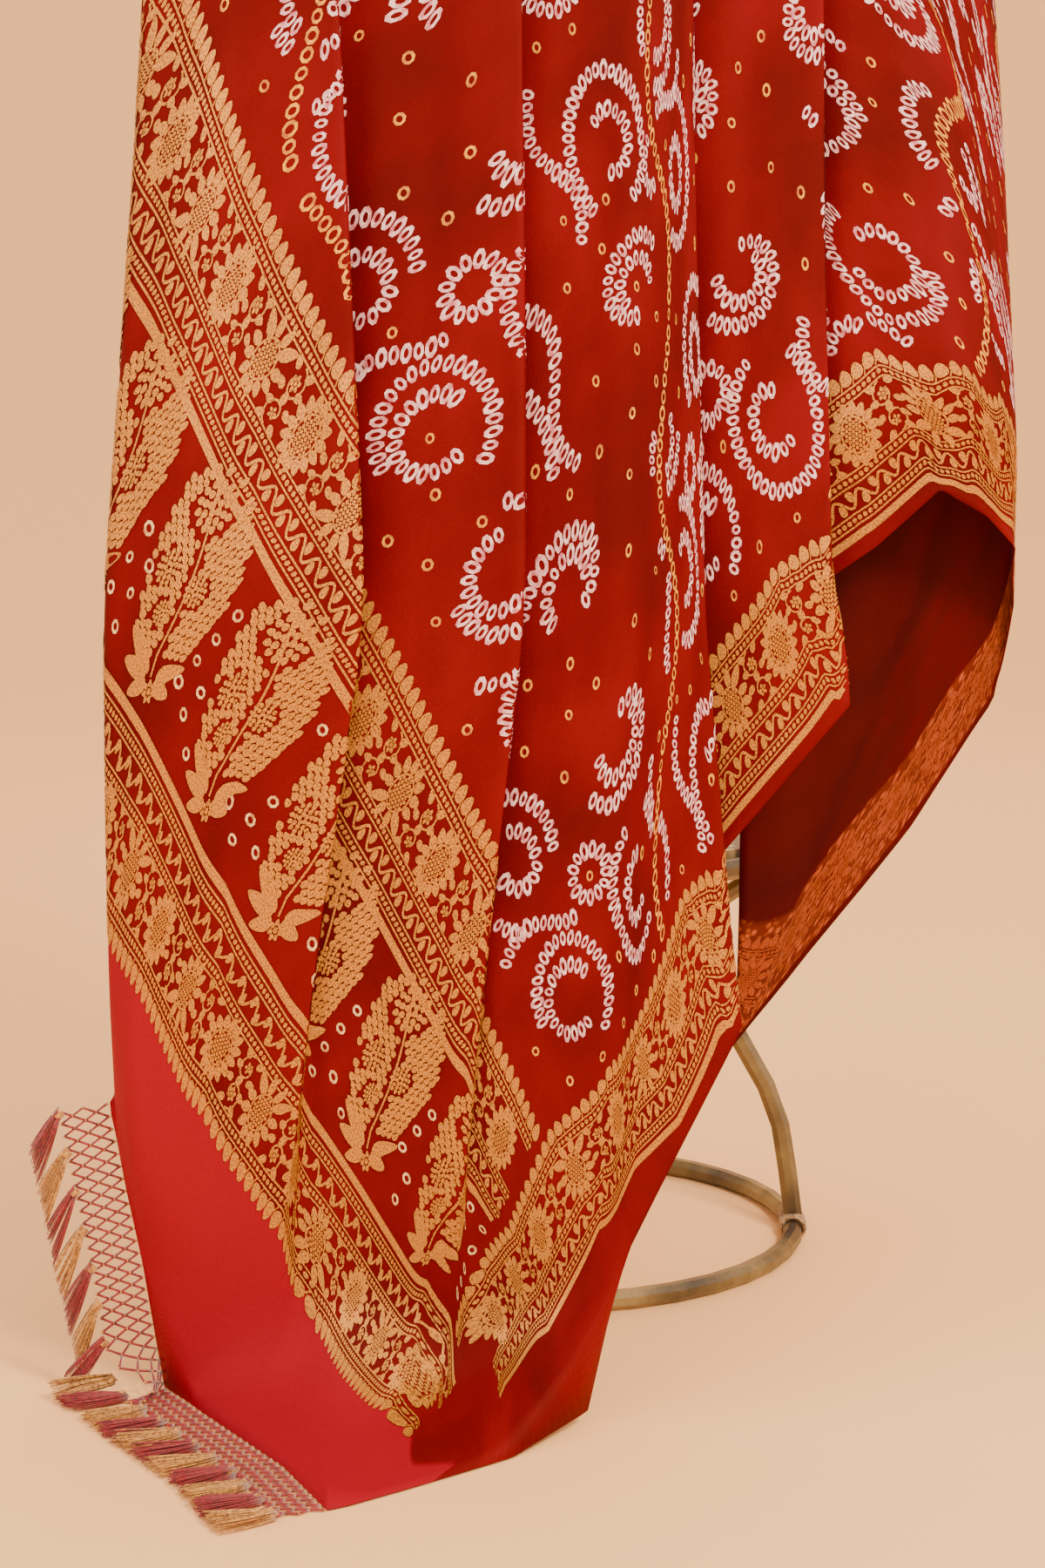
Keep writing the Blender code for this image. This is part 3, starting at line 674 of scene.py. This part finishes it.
def nearest(points, others):
    # distance from each point to the closest of the others, in blocks
    return np.concatenate([
        np.sqrt(((block[:, None, :2] - others[None, :, :2]) ** 2).sum(2)).min(1)
        for block in np.array_split(points, max(1, len(points) // 400))
    ])


def bodyDots():
    plan = dotPlan
    edge = borderPlan["width"] * borderPlan["scale"]
    cell = whiteCell()
    white = []
    for i in range(10):
        for j in range(7):
            own = cell.copy()
            if (i + j) % 2:
                own[:, 1] = plan["cell"] - own[:, 1]
                own[:, 2] = -own[:, 2]
            if i % 2:
                own[:, 0] = plan["cell"] - own[:, 0]
                own[:, 2] = math.pi - own[:, 2]
            own[:, 0] += zones["bodyStart"] + 0.006 + i * plan["cell"]
            own[:, 1] += edge + 0.006 + (j - 0.5 * (i % 2)) * plan["cell"]
            white.append(own)
    white = np.vstack(white)
    vines = []
    w = np.linspace(edge + 0.006, 1.25, 340)
    for k in range(-4, 10):
        u = 0.52 + k * plan["vinePitch"] + 0.40 * w + 0.020 * np.sin(w * 2 * math.pi / 0.21 + k)
        vines.append(alongPath(np.stack([u, w], 1), 0.0096))
    vines = np.vstack(vines)
    vines = vines[vines[:, 0] > zones["bodyStart"] + 0.006]
    white = white[(white[:, 1] > edge + 0.008) & (nearest(white, vines) > 0.0105)]
    u, w = staggered(np.arange(0.39, 2.7, plan["spotPitch"]),
                     np.arange(edge + 0.01, 1.25, plan["spotPitch"]), plan["spotPitch"] / 2)
    spots = np.column_stack([u.ravel(), w.ravel(), np.zeros(u.size)])
    spots[:, :2] += seeded.normal(0, 0.003, (len(spots), 2))
    spots = spots[(nearest(spots, white) > 0.0125) & (nearest(spots, vines) > 0.0125)]
    return white, vines, spots


def jittered(places, size):
    scale = size * (1 + seeded.normal(0, 0.08, len(places)))
    turn = places[:, 2] + seeded.normal(0, 0.12, len(places))
    return np.column_stack([places[:, 0], places[:, 1], turn, scale])


# Materials, each named for what the real one is.
def georgetteMaterial(name, colour, deep, pale):
    # crepe georgette: tightly twisted silk, so a matt pebbled face with a faint sheen at grazing angles
    finish = {"Roughness": 0.62, "Sheen Weight": 0.03, "Sheen Roughness": 0.4, "Specular IOR Level": 0.10}
    material, tree, shader = newMaterial(name, finish)
    shader.inputs["Sheen Tint"].default_value = toLinear("#A00820")
    place = addNode(tree, "TexCoord")
    # dye takes unevenly over a few centimetres
    cloud = addNode(tree, "TexNoise", inputs={"Vector": place.outputs["UV"], "Scale": 9.0, "Detail": 4.0})
    mottle = addNode(tree, "ValToRGB", inputs={"Fac": cloud.outputs["Fac"]})
    mottle.color_ramp.elements[0].position = 0.34
    mottle.color_ramp.elements[0].color = toLinear(deep)
    mottle.color_ramp.elements[1].position = 0.66
    mottle.color_ramp.elements[1].color = toLinear(colour)
    # the plain end before the first woven border is sheer; its paler, pinker red is painted light, standing
    # in for light from behind showing through the sheer cloth
    split = addNode(tree, "SeparateXYZ", inputs={"Vector": place.outputs["UV"]})
    sheer = addNode(tree, "MapRange",
                    inputs={"Value": split.outputs["X"], "From Min": 0.084, "From Max": 0.090})
    ends = addNode(tree, "Mix", {"data_type": "RGBA"}, {"Factor": sheer.outputs[0]})
    # pale is the plain end's painted see-through light
    ends.inputs["A"].default_value = toLinear(pale)
    tree.links.new(mottle.outputs[0], ends.inputs["B"])
    # crossing threads, about 0.9 mm apart so that they show; the real ones are near 0.3 mm
    threads = []
    for direction in ("X", "Y"):
        wave = addNode(tree, "TexWave", {"bands_direction": direction},
                       {"Vector": place.outputs["UV"], "Scale": 360.0, "Distortion": 1.4, "Detail": 1.0})
        threads.append(wave.outputs["Fac"])
    weave = addNode(tree, "Math", {"operation": "MULTIPLY"}, {0: threads[0], 1: threads[1]})
    shade = addNode(tree, "MapRange", inputs={"Value": weave.outputs[0], "To Min": 0.80, "To Max": 1.12})
    tone = addNode(tree, "VectorMath", {"operation": "SCALE"},
                   {0: ends.outputs["Result"], "Scale": shade.outputs[0]})
    tree.links.new(tone.outputs[0], shader.inputs["Base Color"])
    crinkle = addNode(tree, "TexNoise", inputs={"Vector": place.outputs["UV"], "Scale": 240.0, "Detail": 3.0})
    small = addNode(tree, "Bump",
                    inputs={"Height": crinkle.outputs["Fac"], "Strength": 0.30, "Distance": 0.0008})
    fine = addNode(tree, "Bump", inputs={"Height": weave.outputs[0], "Strength": 0.35, "Distance": 0.0004,
                                         "Normal": small.outputs[0]})
    tree.links.new(fine.outputs[0], shader.inputs["Normal"])
    return material


def reverseMaterial():
    # wrong side: duller and darker red, partly its own duller face and partly painted shade for the shadowed
    # inner layer, with the woven bands showing as muted orange-brown floats
    # 560006 and #430004 carry that painted shade; #78021A is the plain end's painted see-through light
    material = georgetteMaterial("georgetteReverse", "#560006", "#430004", "#78021A")
    tree = material.node_tree
    shader = tree.nodes["Principled BSDF"]
    place = tree.nodes["Texture Coordinate"]
    split = addNode(tree, "SeparateXYZ", inputs={"Vector": place.outputs["UV"]})
    grain = addNode(tree, "TexVoronoi", inputs={"Vector": place.outputs["UV"], "Scale": 150.0})
    inside = addNode(tree, "MapRange", inputs={"Value": split.outputs["Y"], "From Min": 0.113,
                                               "From Max": 0.118, "To Min": 1.0, "To Max": 0.0})
    start = addNode(tree, "MapRange",
                    inputs={"Value": split.outputs["Y"], "From Min": 0.011, "From Max": 0.013})
    bands = addNode(tree, "Math", {"operation": "MULTIPLY"}, {0: inside.outputs[0], 1: start.outputs[0]})
    broken = addNode(tree, "MapRange", inputs={"Value": grain.outputs["Distance"], "From Min": 0.15,
                                               "From Max": 0.55, "To Min": 1.0, "To Max": 0.15})
    floats = addNode(tree, "Math", {"operation": "MULTIPLY"}, {0: bands.outputs[0], 1: broken.outputs[0]})
    mix = addNode(tree, "Mix", {"data_type": "RGBA"}, {"Factor": floats.outputs[0]})
    mix.inputs["B"].default_value = toLinear("#B4552A")
    tree.links.new(shader.inputs["Base Color"].links[0].from_socket, mix.inputs["A"])
    tree.links.new(mix.outputs["Result"], shader.inputs["Base Color"])
    return material


def zariMaterial(name, bright, dull):
    # zari: gilt strip wound on thread and woven in; small noise flecks paint its glints into the colour,
    # bright spots over the dull gold, and it is ridged in short lines across the figure
    material, tree, shader = newMaterial(name, {"Metallic": 0.35, "Roughness": 0.45})
    place = addNode(tree, "TexCoord")
    # painted highlight: the noise spots where the gold is painted brighter stand in for glints of light on
    # the gilt
    paintedGlint = addNode(tree, "TexNoise", inputs={"Vector": place.outputs["UV"], "Scale": 900.0, "Detail": 2.0})
    ramp = addNode(tree, "ValToRGB", inputs={"Fac": paintedGlint.outputs["Fac"]})
    ramp.color_ramp.elements[0].position = 0.36
    ramp.color_ramp.elements[0].color = toLinear(dull)
    ramp.color_ramp.elements[1].position = 0.60
    ramp.color_ramp.elements[1].color = toLinear(bright)
    tree.links.new(ramp.outputs[0], shader.inputs["Base Color"])
    lines = addNode(tree, "TexWave", {"bands_direction": "X"},
                    {"Vector": place.outputs["UV"], "Scale": 420.0, "Distortion": 0.6})
    bump = addNode(tree, "Bump", inputs={"Height": lines.outputs["Fac"], "Strength": 0.5, "Distance": 0.0003})
    tree.links.new(bump.outputs[0], shader.inputs["Normal"])
    return material


def dyedDotMaterial(name, light, dark):
    # the cloth's own silk where the tie kept the red dye off: matt, stained a little at the rim
    material, tree, shader = newMaterial(name, {"Roughness": 0.75, "Sheen Weight": 0.2})
    place = addNode(tree, "TexCoord")
    stain = addNode(tree, "TexNoise", inputs={"Vector": place.outputs["UV"], "Scale": 170.0, "Detail": 2.0})
    ramp = addNode(tree, "ValToRGB", inputs={"Fac": stain.outputs["Fac"]})
    ramp.color_ramp.elements[0].position = 0.35
    ramp.color_ramp.elements[0].color = toLinear(dark)
    ramp.color_ramp.elements[1].position = 0.62
    ramp.color_ramp.elements[1].color = toLinear(light)
    tree.links.new(ramp.outputs[0], shader.inputs["Base Color"])
    return material


def threadMaterial(name, light, dark):
    # loose silk threads: long soft highlights, colour shifting from thread to thread
    material, tree, shader = newMaterial(name, {"Roughness": 0.48, "Sheen Weight": 0.4})
    place = addNode(tree, "TexCoord")
    each = addNode(tree, "TexNoise", inputs={"Vector": place.outputs["Object"], "Scale": 420.0})
    ramp = addNode(tree, "ValToRGB", inputs={"Fac": each.outputs["Fac"]})
    ramp.color_ramp.elements[0].position = 0.35
    ramp.color_ramp.elements[0].color = toLinear(dark)
    ramp.color_ramp.elements[1].position = 0.65
    ramp.color_ramp.elements[1].color = toLinear(light)
    tree.links.new(ramp.outputs[0], shader.inputs["Base Color"])
    return material


def caneMaterial():
    # rattan cane: satin skin of its own, olive brown with dark scorched patches and fine lengthwise grain
    finish = {"Roughness": 0.38, "Coat Weight": 0.25, "Coat Roughness": 0.3}
    material, tree, shader = newMaterial("bentCane", finish)
    place = addNode(tree, "TexCoord")
    patches = addNode(tree, "TexNoise",
                      inputs={"Vector": place.outputs["Object"], "Scale": 17.0, "Detail": 3.0})
    ramp = addNode(tree, "ValToRGB", inputs={"Fac": patches.outputs["Fac"]})
    ramp.color_ramp.elements[0].position = 0.36
    ramp.color_ramp.elements[0].color = toLinear("#2A1C0E")
    ramp.color_ramp.elements[1].position = 0.52
    ramp.color_ramp.elements[1].color = toLinear("#5E4C28")
    far = ramp.color_ramp.elements.new(0.70)
    far.color = toLinear("#8A7242")
    grain = addNode(tree, "TexNoise",
                    inputs={"Vector": place.outputs["Object"], "Scale": 300.0, "Detail": 2.0})
    tone = addNode(tree, "MapRange", inputs={"Value": grain.outputs["Fac"], "To Min": 0.72, "To Max": 1.25})
    mixed = addNode(tree, "VectorMath", {"operation": "SCALE"},
                    {0: ramp.outputs[0], "Scale": tone.outputs[0]})
    tree.links.new(mixed.outputs[0], shader.inputs["Base Color"])
    bump = addNode(tree, "Bump",
                   inputs={"Height": grain.outputs["Fac"], "Strength": 0.35, "Distance": 0.0006})
    tree.links.new(bump.outputs[0], shader.inputs["Normal"])
    return material


def seatMaterial():
    # split cane woven over and under in 8 mm strips
    material, tree, shader = newMaterial("wovenSplitCane", {"Roughness": 0.5})
    place = addNode(tree, "TexCoord")
    strips = [
        addNode(tree, "TexWave", {"bands_direction": way}, {"Vector": place.outputs["Object"], "Scale": 20.0})
        for way in ("X", "Y")
    ]
    over = addNode(tree, "Math", {"operation": "MULTIPLY"},
                   {0: strips[0].outputs["Fac"], 1: strips[1].outputs["Fac"]})
    ramp = addNode(tree, "ValToRGB", inputs={"Fac": over.outputs[0]})
    ramp.color_ramp.elements[0].color = toLinear("#5A3E20")
    ramp.color_ramp.elements[1].position = 0.45
    ramp.color_ramp.elements[1].color = toLinear("#C9A76C")
    tree.links.new(ramp.outputs[0], shader.inputs["Base Color"])
    bump = addNode(tree, "Bump", inputs={"Height": over.outputs[0], "Strength": 0.8, "Distance": 0.002})
    tree.links.new(bump.outputs[0], shader.inputs["Normal"])
    return material


# Cloth sheet: right side and wrong side half a millimetre apart, walled at the edges by Solidify.
# the last colour, #98001C, is the plain end's painted see-through light
redFront = georgetteMaterial("redGeorgette", "#780006", "#5C0004", "#98001C")
redBack = reverseMaterial()
columnCount, rowCount = clothPoints.shape[:2]
index = np.arange(columnCount * rowCount).reshape(columnCount, rowCount)
quads = np.stack([index[:-1, :-1], index[1:, :-1], index[1:, 1:], index[:-1, 1:]], -1).reshape(-1, 4)
cloth = meshPiece("bandhaniCloth", clothPoints.reshape(-1, 3) + originShift, quads, redFront,
                  uv=np.stack([gridU.ravel(), gridW.ravel()], 1))
cloth.data.materials.append(redBack)
wall = cloth.modifiers.new("thickness", "SOLIDIFY")
wall.thickness = 0.0006
wall.offset = 0.0
wall.material_offset = 1
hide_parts("cloth")
print("cloth sheet made")

# Woven gold borders and the row of leaf bouquets.
# D8902C is the painted highlight of the glints, #7E460E the dull gold
zari = zariMaterial("zariThread", "#D8902C", "#7E460E")
side = borderStrip(0.186, zones["sideEnd"])
crossA = toCross(borderStrip(0.066, zones["clothWidth"]), zones["borderA"], -1)
crossB = toCross(borderStrip(0.112, zones["clothWidth"]), zones["borderB"], 1)
ornaments = [
    layOn("zariSideBorder", *side, 0.0009, zari),
    layOn("zariCrossBorderA", *crossA, 0.0009, zari),
    layOn("zariCrossBorderB", *crossB, 0.0009, zari),
]
# the woven figure shows duller through the wrong side, where the far layer hangs open
# B4501C is the painted highlight of the glints here, #7A2A0C the dull floats
reverseZari = zariMaterial("zariReverse", "#B4501C", "#7A2A0C")
points, faces = borderStrip(1.10, zones["sideEnd"])
ornaments.append(layOn("zariSideReverse", points, faces[:, ::-1], -0.0009, reverseZari))
bouquet = kalgaBouquet()
rows = np.arange(0.150, 1.15, 0.105)
# each bouquet stands askew between the two borders, its foot near the first of them
places = placesAt(zones["borderA"] + 0.006, rows, -1.0, 0.92)
ornaments.append(layOn("zariBouquets", *stamped(bouquet, places), 0.0012, zari))

# Tie-dyed dots.
whiteDye = dyedDotMaterial("undyedSilk", "#EBC4C8", "#B8606A")
yellowDye = dyedDotMaterial("yellowDyedSilk", "#E09A18", "#A8560C")
creamDye = dyedDotMaterial("creamDyedSilk", "#E8C488", "#B06C30")
white, vines, spots = bodyDots()
dotLift = 0.0007


def layDots(name, ring, dots, dye):
    # ring holds the dot's half length, half width and the share of it that stays red
    ornaments.append(layOn(name, *stamped(dotRing(*ring), jittered(dots, 1.0)), dotLift, dye))


layDots("whiteDots", (0.0031, 0.0053, 0.42), white, whiteDye)
layDots("yellowChains", (0.0044, 0.0048, 0.52), vines, yellowDye)
layDots("yellowSpots", (0.0031, 0.0036, 0.50), spots, yellowDye)
u, w = staggered(np.arange(zones["borderA"] + 0.007, zones["borderB"] + 0.004, 0.0165),
                 np.arange(0.112, 1.15, 0.0200), 0.0098)
field = np.column_stack([u.ravel(), w.ravel(), np.zeros(u.size)])
bouquetPoints = stamped(bouquet, places)[0][::7]
field = field[(nearest(field, bouquetPoints) > 0.0070) & (field[:, 0] < zones["borderB"] + 0.004)]
layDots("creamFieldDots", (0.0031, 0.0044, 0.50), field, creamDye)


# Net and tassels along the tasselled end.
netPlan = {
    "width": 0.034,
    "rows": 4,
    "pitch": 0.0088,
    "strand": 0.0010,
    "droop": (-0.86, 0.10, -0.50),
    "tasselPitch": 0.0260,
    "tassel": 0.044,
    "threads": 70,
    "firstRun": 0.030,
}


def endFrame(count):
    # even points along the end edge with the net's outward direction and the one square to both
    runs = np.linspace(netPlan["firstRun"], clothPlan["cornerRun"], 300)
    edge = columnValues(runs, "end")
    lengths = lengthsOf(edge)
    edge = atLengths(edge, lengths, np.linspace(0, lengths[-1], count))
    along = unit(np.gradient(edge, axis=0))
    outward = unit(np.stack([along[:, 1], -along[:, 0], np.zeros(count)], 1))
    fall = np.clip(edge[:, 2:] / 0.05, 0.0, 1.0)
    outward = outward * (1 - fall) + np.array([netPlan["droop"]]) * fall
    outward -= along * (outward * along).sum(1, keepdims=True)
    outward = unit(runningMean(unit(outward)[:, None], 3)[:, 0])
    return edge, outward, along, lengths[-1]


def spokesRound(ahead, side, angles):
    # unit spokes about each direction of a path, their angles counted from the given side
    across = unit(side)
    rise = np.cross(across, ahead)
    return np.cos(angles)[None, :, None] * across[:, None] + np.sin(angles)[None, :, None] * rise[:, None]


def strands(name, starts, ends, radius, material, bow=0.0, steps=1, thin=1.0, sideways=None):
    # three-sided threads from starts to ends, bowed sideways in the middle and thinner at the tip
    t = np.linspace(0, 1, steps + 1)[None, :, None]
    path = starts[:, None] * (1 - t) + ends[:, None] * t
    if sideways is not None:
        path = path + sideways[:, None] * (bow * np.sin(t * math.pi))
    ahead = unit(ends - starts)
    angles = np.array([math.pi / 2, math.pi * 7 / 6, math.pi * 11 / 6])
    spoke = spokesRound(ahead, np.cross(ahead, (0.0, 0.0, 1.0)) + np.array([1e-5, 0, 0]), angles)
    girth = radius * (1 - (1 - thin) * np.linspace(0, 1, steps + 1))
    points = path[:, :, None] + spoke[:, None] * girth[None, :, None, None]
    points = raised(points, 0.0002)
    count = len(starts)
    base = np.arange(count)[:, None, None] * (steps + 1) * 3
    level = np.arange(steps)[None, :, None] * 3
    corner = np.arange(3)[None, None]
    following = (corner + 1) % 3
    faces = np.stack([base + level + corner, base + level + 3 + corner, base + level + 3 + following,
                      base + level + following], -1).reshape(-1, 4).tolist()
    first = np.arange(count) * (steps + 1) * 3
    last = first + steps * 3
    faces += np.stack([first, first + 1, first + 2], 1).tolist()
    faces += np.stack([last + 2, last + 1, last], 1).tolist()
    return meshPiece(name, points.reshape(-1, 3) + originShift, faces, material)


def beadsAt(name, centres, size, material):
    # small eight-faced knots
    shape = np.array([(1, 0, 0), (-1, 0, 0), (0, 1, 0), (0, -1, 0), (0, 0, 1), (0, 0, -1)], float)
    faces = np.array([(0, 2, 4), (2, 1, 4), (1, 3, 4), (3, 0, 4),
                      (2, 0, 5), (1, 2, 5), (3, 1, 5), (0, 3, 5)])
    points = raised(centres[:, None] + shape[None] * size, 0.0002)
    own = (faces[None] + np.arange(len(centres))[:, None, None] * 6).reshape(-1, 3)
    return meshPiece(name, points.reshape(-1, 3) + originShift, own, material)


redThread = threadMaterial("redSilkThread", "#A00014", "#66000C")
goldThread = threadMaterial("goldSilkThread", "#D89A3A", "#8C5018")
edgeLength = endFrame(3)[3]
knots = int(edgeLength / netPlan["pitch"])
edge, outward, along = endFrame(2 * knots + 1)[:3]
rowStep = netPlan["width"] / netPlan["rows"]


def knotRow(row):
    # knots of one row; every other row is shifted half a pitch
    places = np.arange(row % 2, 2 * knots + 1, 2)
    return places, raised(edge[places] + outward[places] * (0.0014 + row * rowStep), 0.0012)


starts, ends, knotPoints = [], [], []
for row in range(netPlan["rows"]):
    highPlaces, high = knotRow(row)
    lowPlaces, low = knotRow(row + 1)
    knotPoints.append(high)
    for shift in (-1, 1):
        found = np.searchsorted(lowPlaces, highPlaces + shift)
        real = (found < len(lowPlaces)) & (highPlaces + shift >= 0)
        real[real] &= lowPlaces[found[real]] == (highPlaces + shift)[real]
        starts.append(high[real])
        ends.append(low[found[real]])
knotPoints.append(knotRow(netPlan["rows"])[1])
net = strands("knottedNet", np.vstack(starts), np.vstack(ends), netPlan["strand"], redThread)
netKnots = beadsAt("netKnots", np.vstack(knotPoints), 0.0013, goldThread)
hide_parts("net_fringe_side", "net_fringe_floor")
tasselCount = int(edgeLength / netPlan["tasselPitch"])
edge, outward, along = endFrame(tasselCount)[:3]
tasselPieces = []
for colour, material in (("red", redThread), ("gold", goldThread)):
    own = np.arange(0 if colour == "red" else 1, tasselCount, 2)
    head = edge[own] + outward[own] * (netPlan["width"] + 0.0008)
    lean = seeded.normal(0, 0.10, (len(own), 1))
    way = outward[own] + along[own] * lean
    hang = np.clip(head[:, 2:] / 0.05, 0.0, 1.0)
    way = unit(way * (1 - hang) + (way * 0.45 + np.array([[0, 0, -0.9]])) * hang)
    many = netPlan["threads"]
    spread = seeded.uniform(-1, 1, (len(own), many, 1))
    lift = seeded.uniform(0, 1, (len(own), many, 1))
    long = netPlan["tassel"] * (1 - 0.12 * seeded.uniform(0, 1, (len(own), many, 1)))
    squareUp = np.cross(along[own], outward[own])
    squareUp *= np.sign(squareUp[:, 2:] + 1e-9)
    first = head[:, None] + along[own][:, None] * spread * 0.0036 + squareUp[:, None] * (lift * 0.0060)
    last = first + way[:, None] * long + along[own][:, None] * spread * 0.0105
    last += squareUp[:, None] * lift * 0.0030
    last = raised(last, 0.0006 + lift[..., 0] * 0.0080)
    first = raised(first, 0.0008 + lift[..., 0] * 0.0060)
    bend = np.repeat(along[own][:, None], many, 1).reshape(-1, 3) * spread.reshape(-1, 1)
    piece = strands(colour + "Tassels", first.reshape(-1, 3), last.reshape(-1, 3), 0.00052, material,
                    0.0012, 4, 0.7, bend)
    binding = beadsAt(colour + "TasselHeads", (first.mean(1) + way * 0.002), 0.0052, goldThread)
    tasselPieces += [piece, binding]
print("net and tassels made")

# Chair: the solids keep their shape and take their finish here.
cane, seatWeave = caneMaterial(), seatMaterial()
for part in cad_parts:
    shown = bpy.data.objects.get(part)
    if shown is None or part in ("cloth", "net_fringe_side", "net_fringe_floor"):
        continue
    for place in range(max(1, len(shown.material_slots))):
        if shown.material_slots:
            shown.material_slots[place].material = seatWeave if part == "seat_panel" else cane

# Split-cane bindings where each leg meets the base ring.
bindingPlan = {
    "turns": 7,
    "sides": 4,
    "radius": 0.0016,
    "grip": 0.0094,
    "spread": 0.030,
    "baseRadius": 0.200,
    "height": 0.0078,
}


def ringBinding(angle):
    # a helix about the ring's own centre line, for a short way to each side of the leg
    plan = bindingPlan
    t = np.linspace(0, 1, plan["turns"] * 14 + 1)
    around = angle + (t - 0.5) * plan["spread"] / plan["baseRadius"]
    twist = t * plan["turns"] * 2 * math.pi
    off = np.stack([np.cos(twist) * np.cos(around), np.cos(twist) * np.sin(around), np.sin(twist)], 1)
    middle = np.stack([np.cos(around) * plan["baseRadius"], np.sin(around) * plan["baseRadius"],
                       np.full(len(t), plan["height"])], 1)
    return raised(middle + off * plan["grip"], plan["radius"] + 0.0002), off


def tubeAlong(path, off, radius, sides):
    # rings of points about a path, closed at both ends; off points away from what it is wound on
    ahead = unit(np.gradient(path, axis=0))
    spoke = spokesRound(ahead, np.cross(ahead, off), np.linspace(0, 2 * math.pi, sides, endpoint=False))
    points = (path[:, None] + spoke * radius).reshape(-1, 3)
    level = np.arange(len(path) - 1)[:, None] * sides
    corner = np.arange(sides)[None]
    following = (corner + 1) % sides
    faces = np.stack([level + corner, level + sides + corner,
                      level + sides + following, level + following], -1)
    ends = [list(range(sides)), list(range(len(points) - 1, len(points) - 1 - sides, -1))]
    return points, faces.reshape(-1, 4).tolist() + ends


caneStrip = threadMaterial("splitCaneBinding", "#B9935A", "#6E4A26")
for number in range(4):
    path, off = ringBinding(number * math.pi / 2)
    points, faces = tubeAlong(path, off, bindingPlan["radius"], bindingPlan["sides"])
    binding = meshPiece(f"binding{number + 1}", points + originShift, faces, caneStrip)
print("chair finished")

# Floor, soft light and the photograph's viewpoint.
floorMaterial = newMaterial("paleFloor", {"Base Color": toLinear("#FFC584"), "Roughness": 0.85})[0]
# the floor sweeps up into a wall behind without an edge
turn = np.linspace(0, math.pi / 2, 14)
sweepStart, sweepRadius, floorDrop = 3.0, 2.5, 0.0004
sweep = np.stack([sweepStart + sweepRadius * np.sin(turn), sweepRadius * (1 - np.cos(turn)) - floorDrop], 1)
profile = np.vstack([[(-7.0, -floorDrop)], sweep, [(sweepStart + sweepRadius, 8.0)]])
floorPoints = np.concatenate([np.column_stack([np.full(len(profile), x), profile]) for x in (-8.0, 8.0)])
count = len(profile)
floorMesh = bpy.data.meshes.new("floor")
floorFaces = [(k, k + count, k + count + 1, k + 1) for k in range(count - 1)]
floorMesh.from_pydata(floorPoints.tolist(), [], floorFaces)
floorMesh.polygons.foreach_set("use_smooth", np.full(len(floorMesh.polygons), True))
floor = bpy.data.objects.new("floor", floorMesh)
floorMesh.materials.append(floorMaterial)
bpy.context.scene.collection.objects.link(floor)

world = bpy.data.worlds.new("studio")
world.use_nodes = True
world.node_tree.nodes["Background"].inputs["Color"].default_value = toLinear("#FFF2E2")
world.node_tree.nodes["Background"].inputs["Strength"].default_value = 1.5
bpy.context.scene.world = world
for name, place, aim, power, size, colour in (
    ("keyLight", (1.3, -2.2, 2.3), (0.05, -0.2, 0.5), 130.0, 0.6, "#FFE8CC"),
    ("fillLight", (-2.0, -1.8, 1.4), (0.0, -0.2, 0.5), 22.0, 1.6, "#FFF0E4"),
    ("backLight", (0.6, 2.4, 2.4), (0.0, 0.0, 0.5), 30.0, 1.6, "#FFF4E8"),
):
    lamp = bpy.data.lights.new(name, "AREA")
    lamp.energy = power
    lamp.size = size
    lamp.color = toLinear(colour)[:3]
    holder = bpy.data.objects.new(name, lamp)
    holder.location = place
    towards = np.array(aim) - np.array(place)
    yaw = math.atan2(towards[0], -towards[1])
    pitch = math.atan2(math.hypot(towards[0], towards[1]), -towards[2])
    holder.rotation_euler = Euler((-pitch, 0, yaw), "XYZ")
    bpy.context.scene.collection.objects.link(holder)

cameraPlan = {"place": (-0.0138, -2.791, 0.853), "pitch": 10.0, "lens": 84.0}
cameraData = bpy.data.cameras.new("photoView")
cameraData.lens = cameraPlan["lens"]
cameraData.sensor_width = 36.0
camera = bpy.data.objects.new("photoView", cameraData)
camera.location = tuple(np.array(cameraPlan["place"]) + originShift)
camera.rotation_euler = Euler((math.radians(90 - cameraPlan["pitch"]), 0, 0), "XYZ")
bpy.context.scene.collection.objects.link(camera)
bpy.context.scene.camera = camera
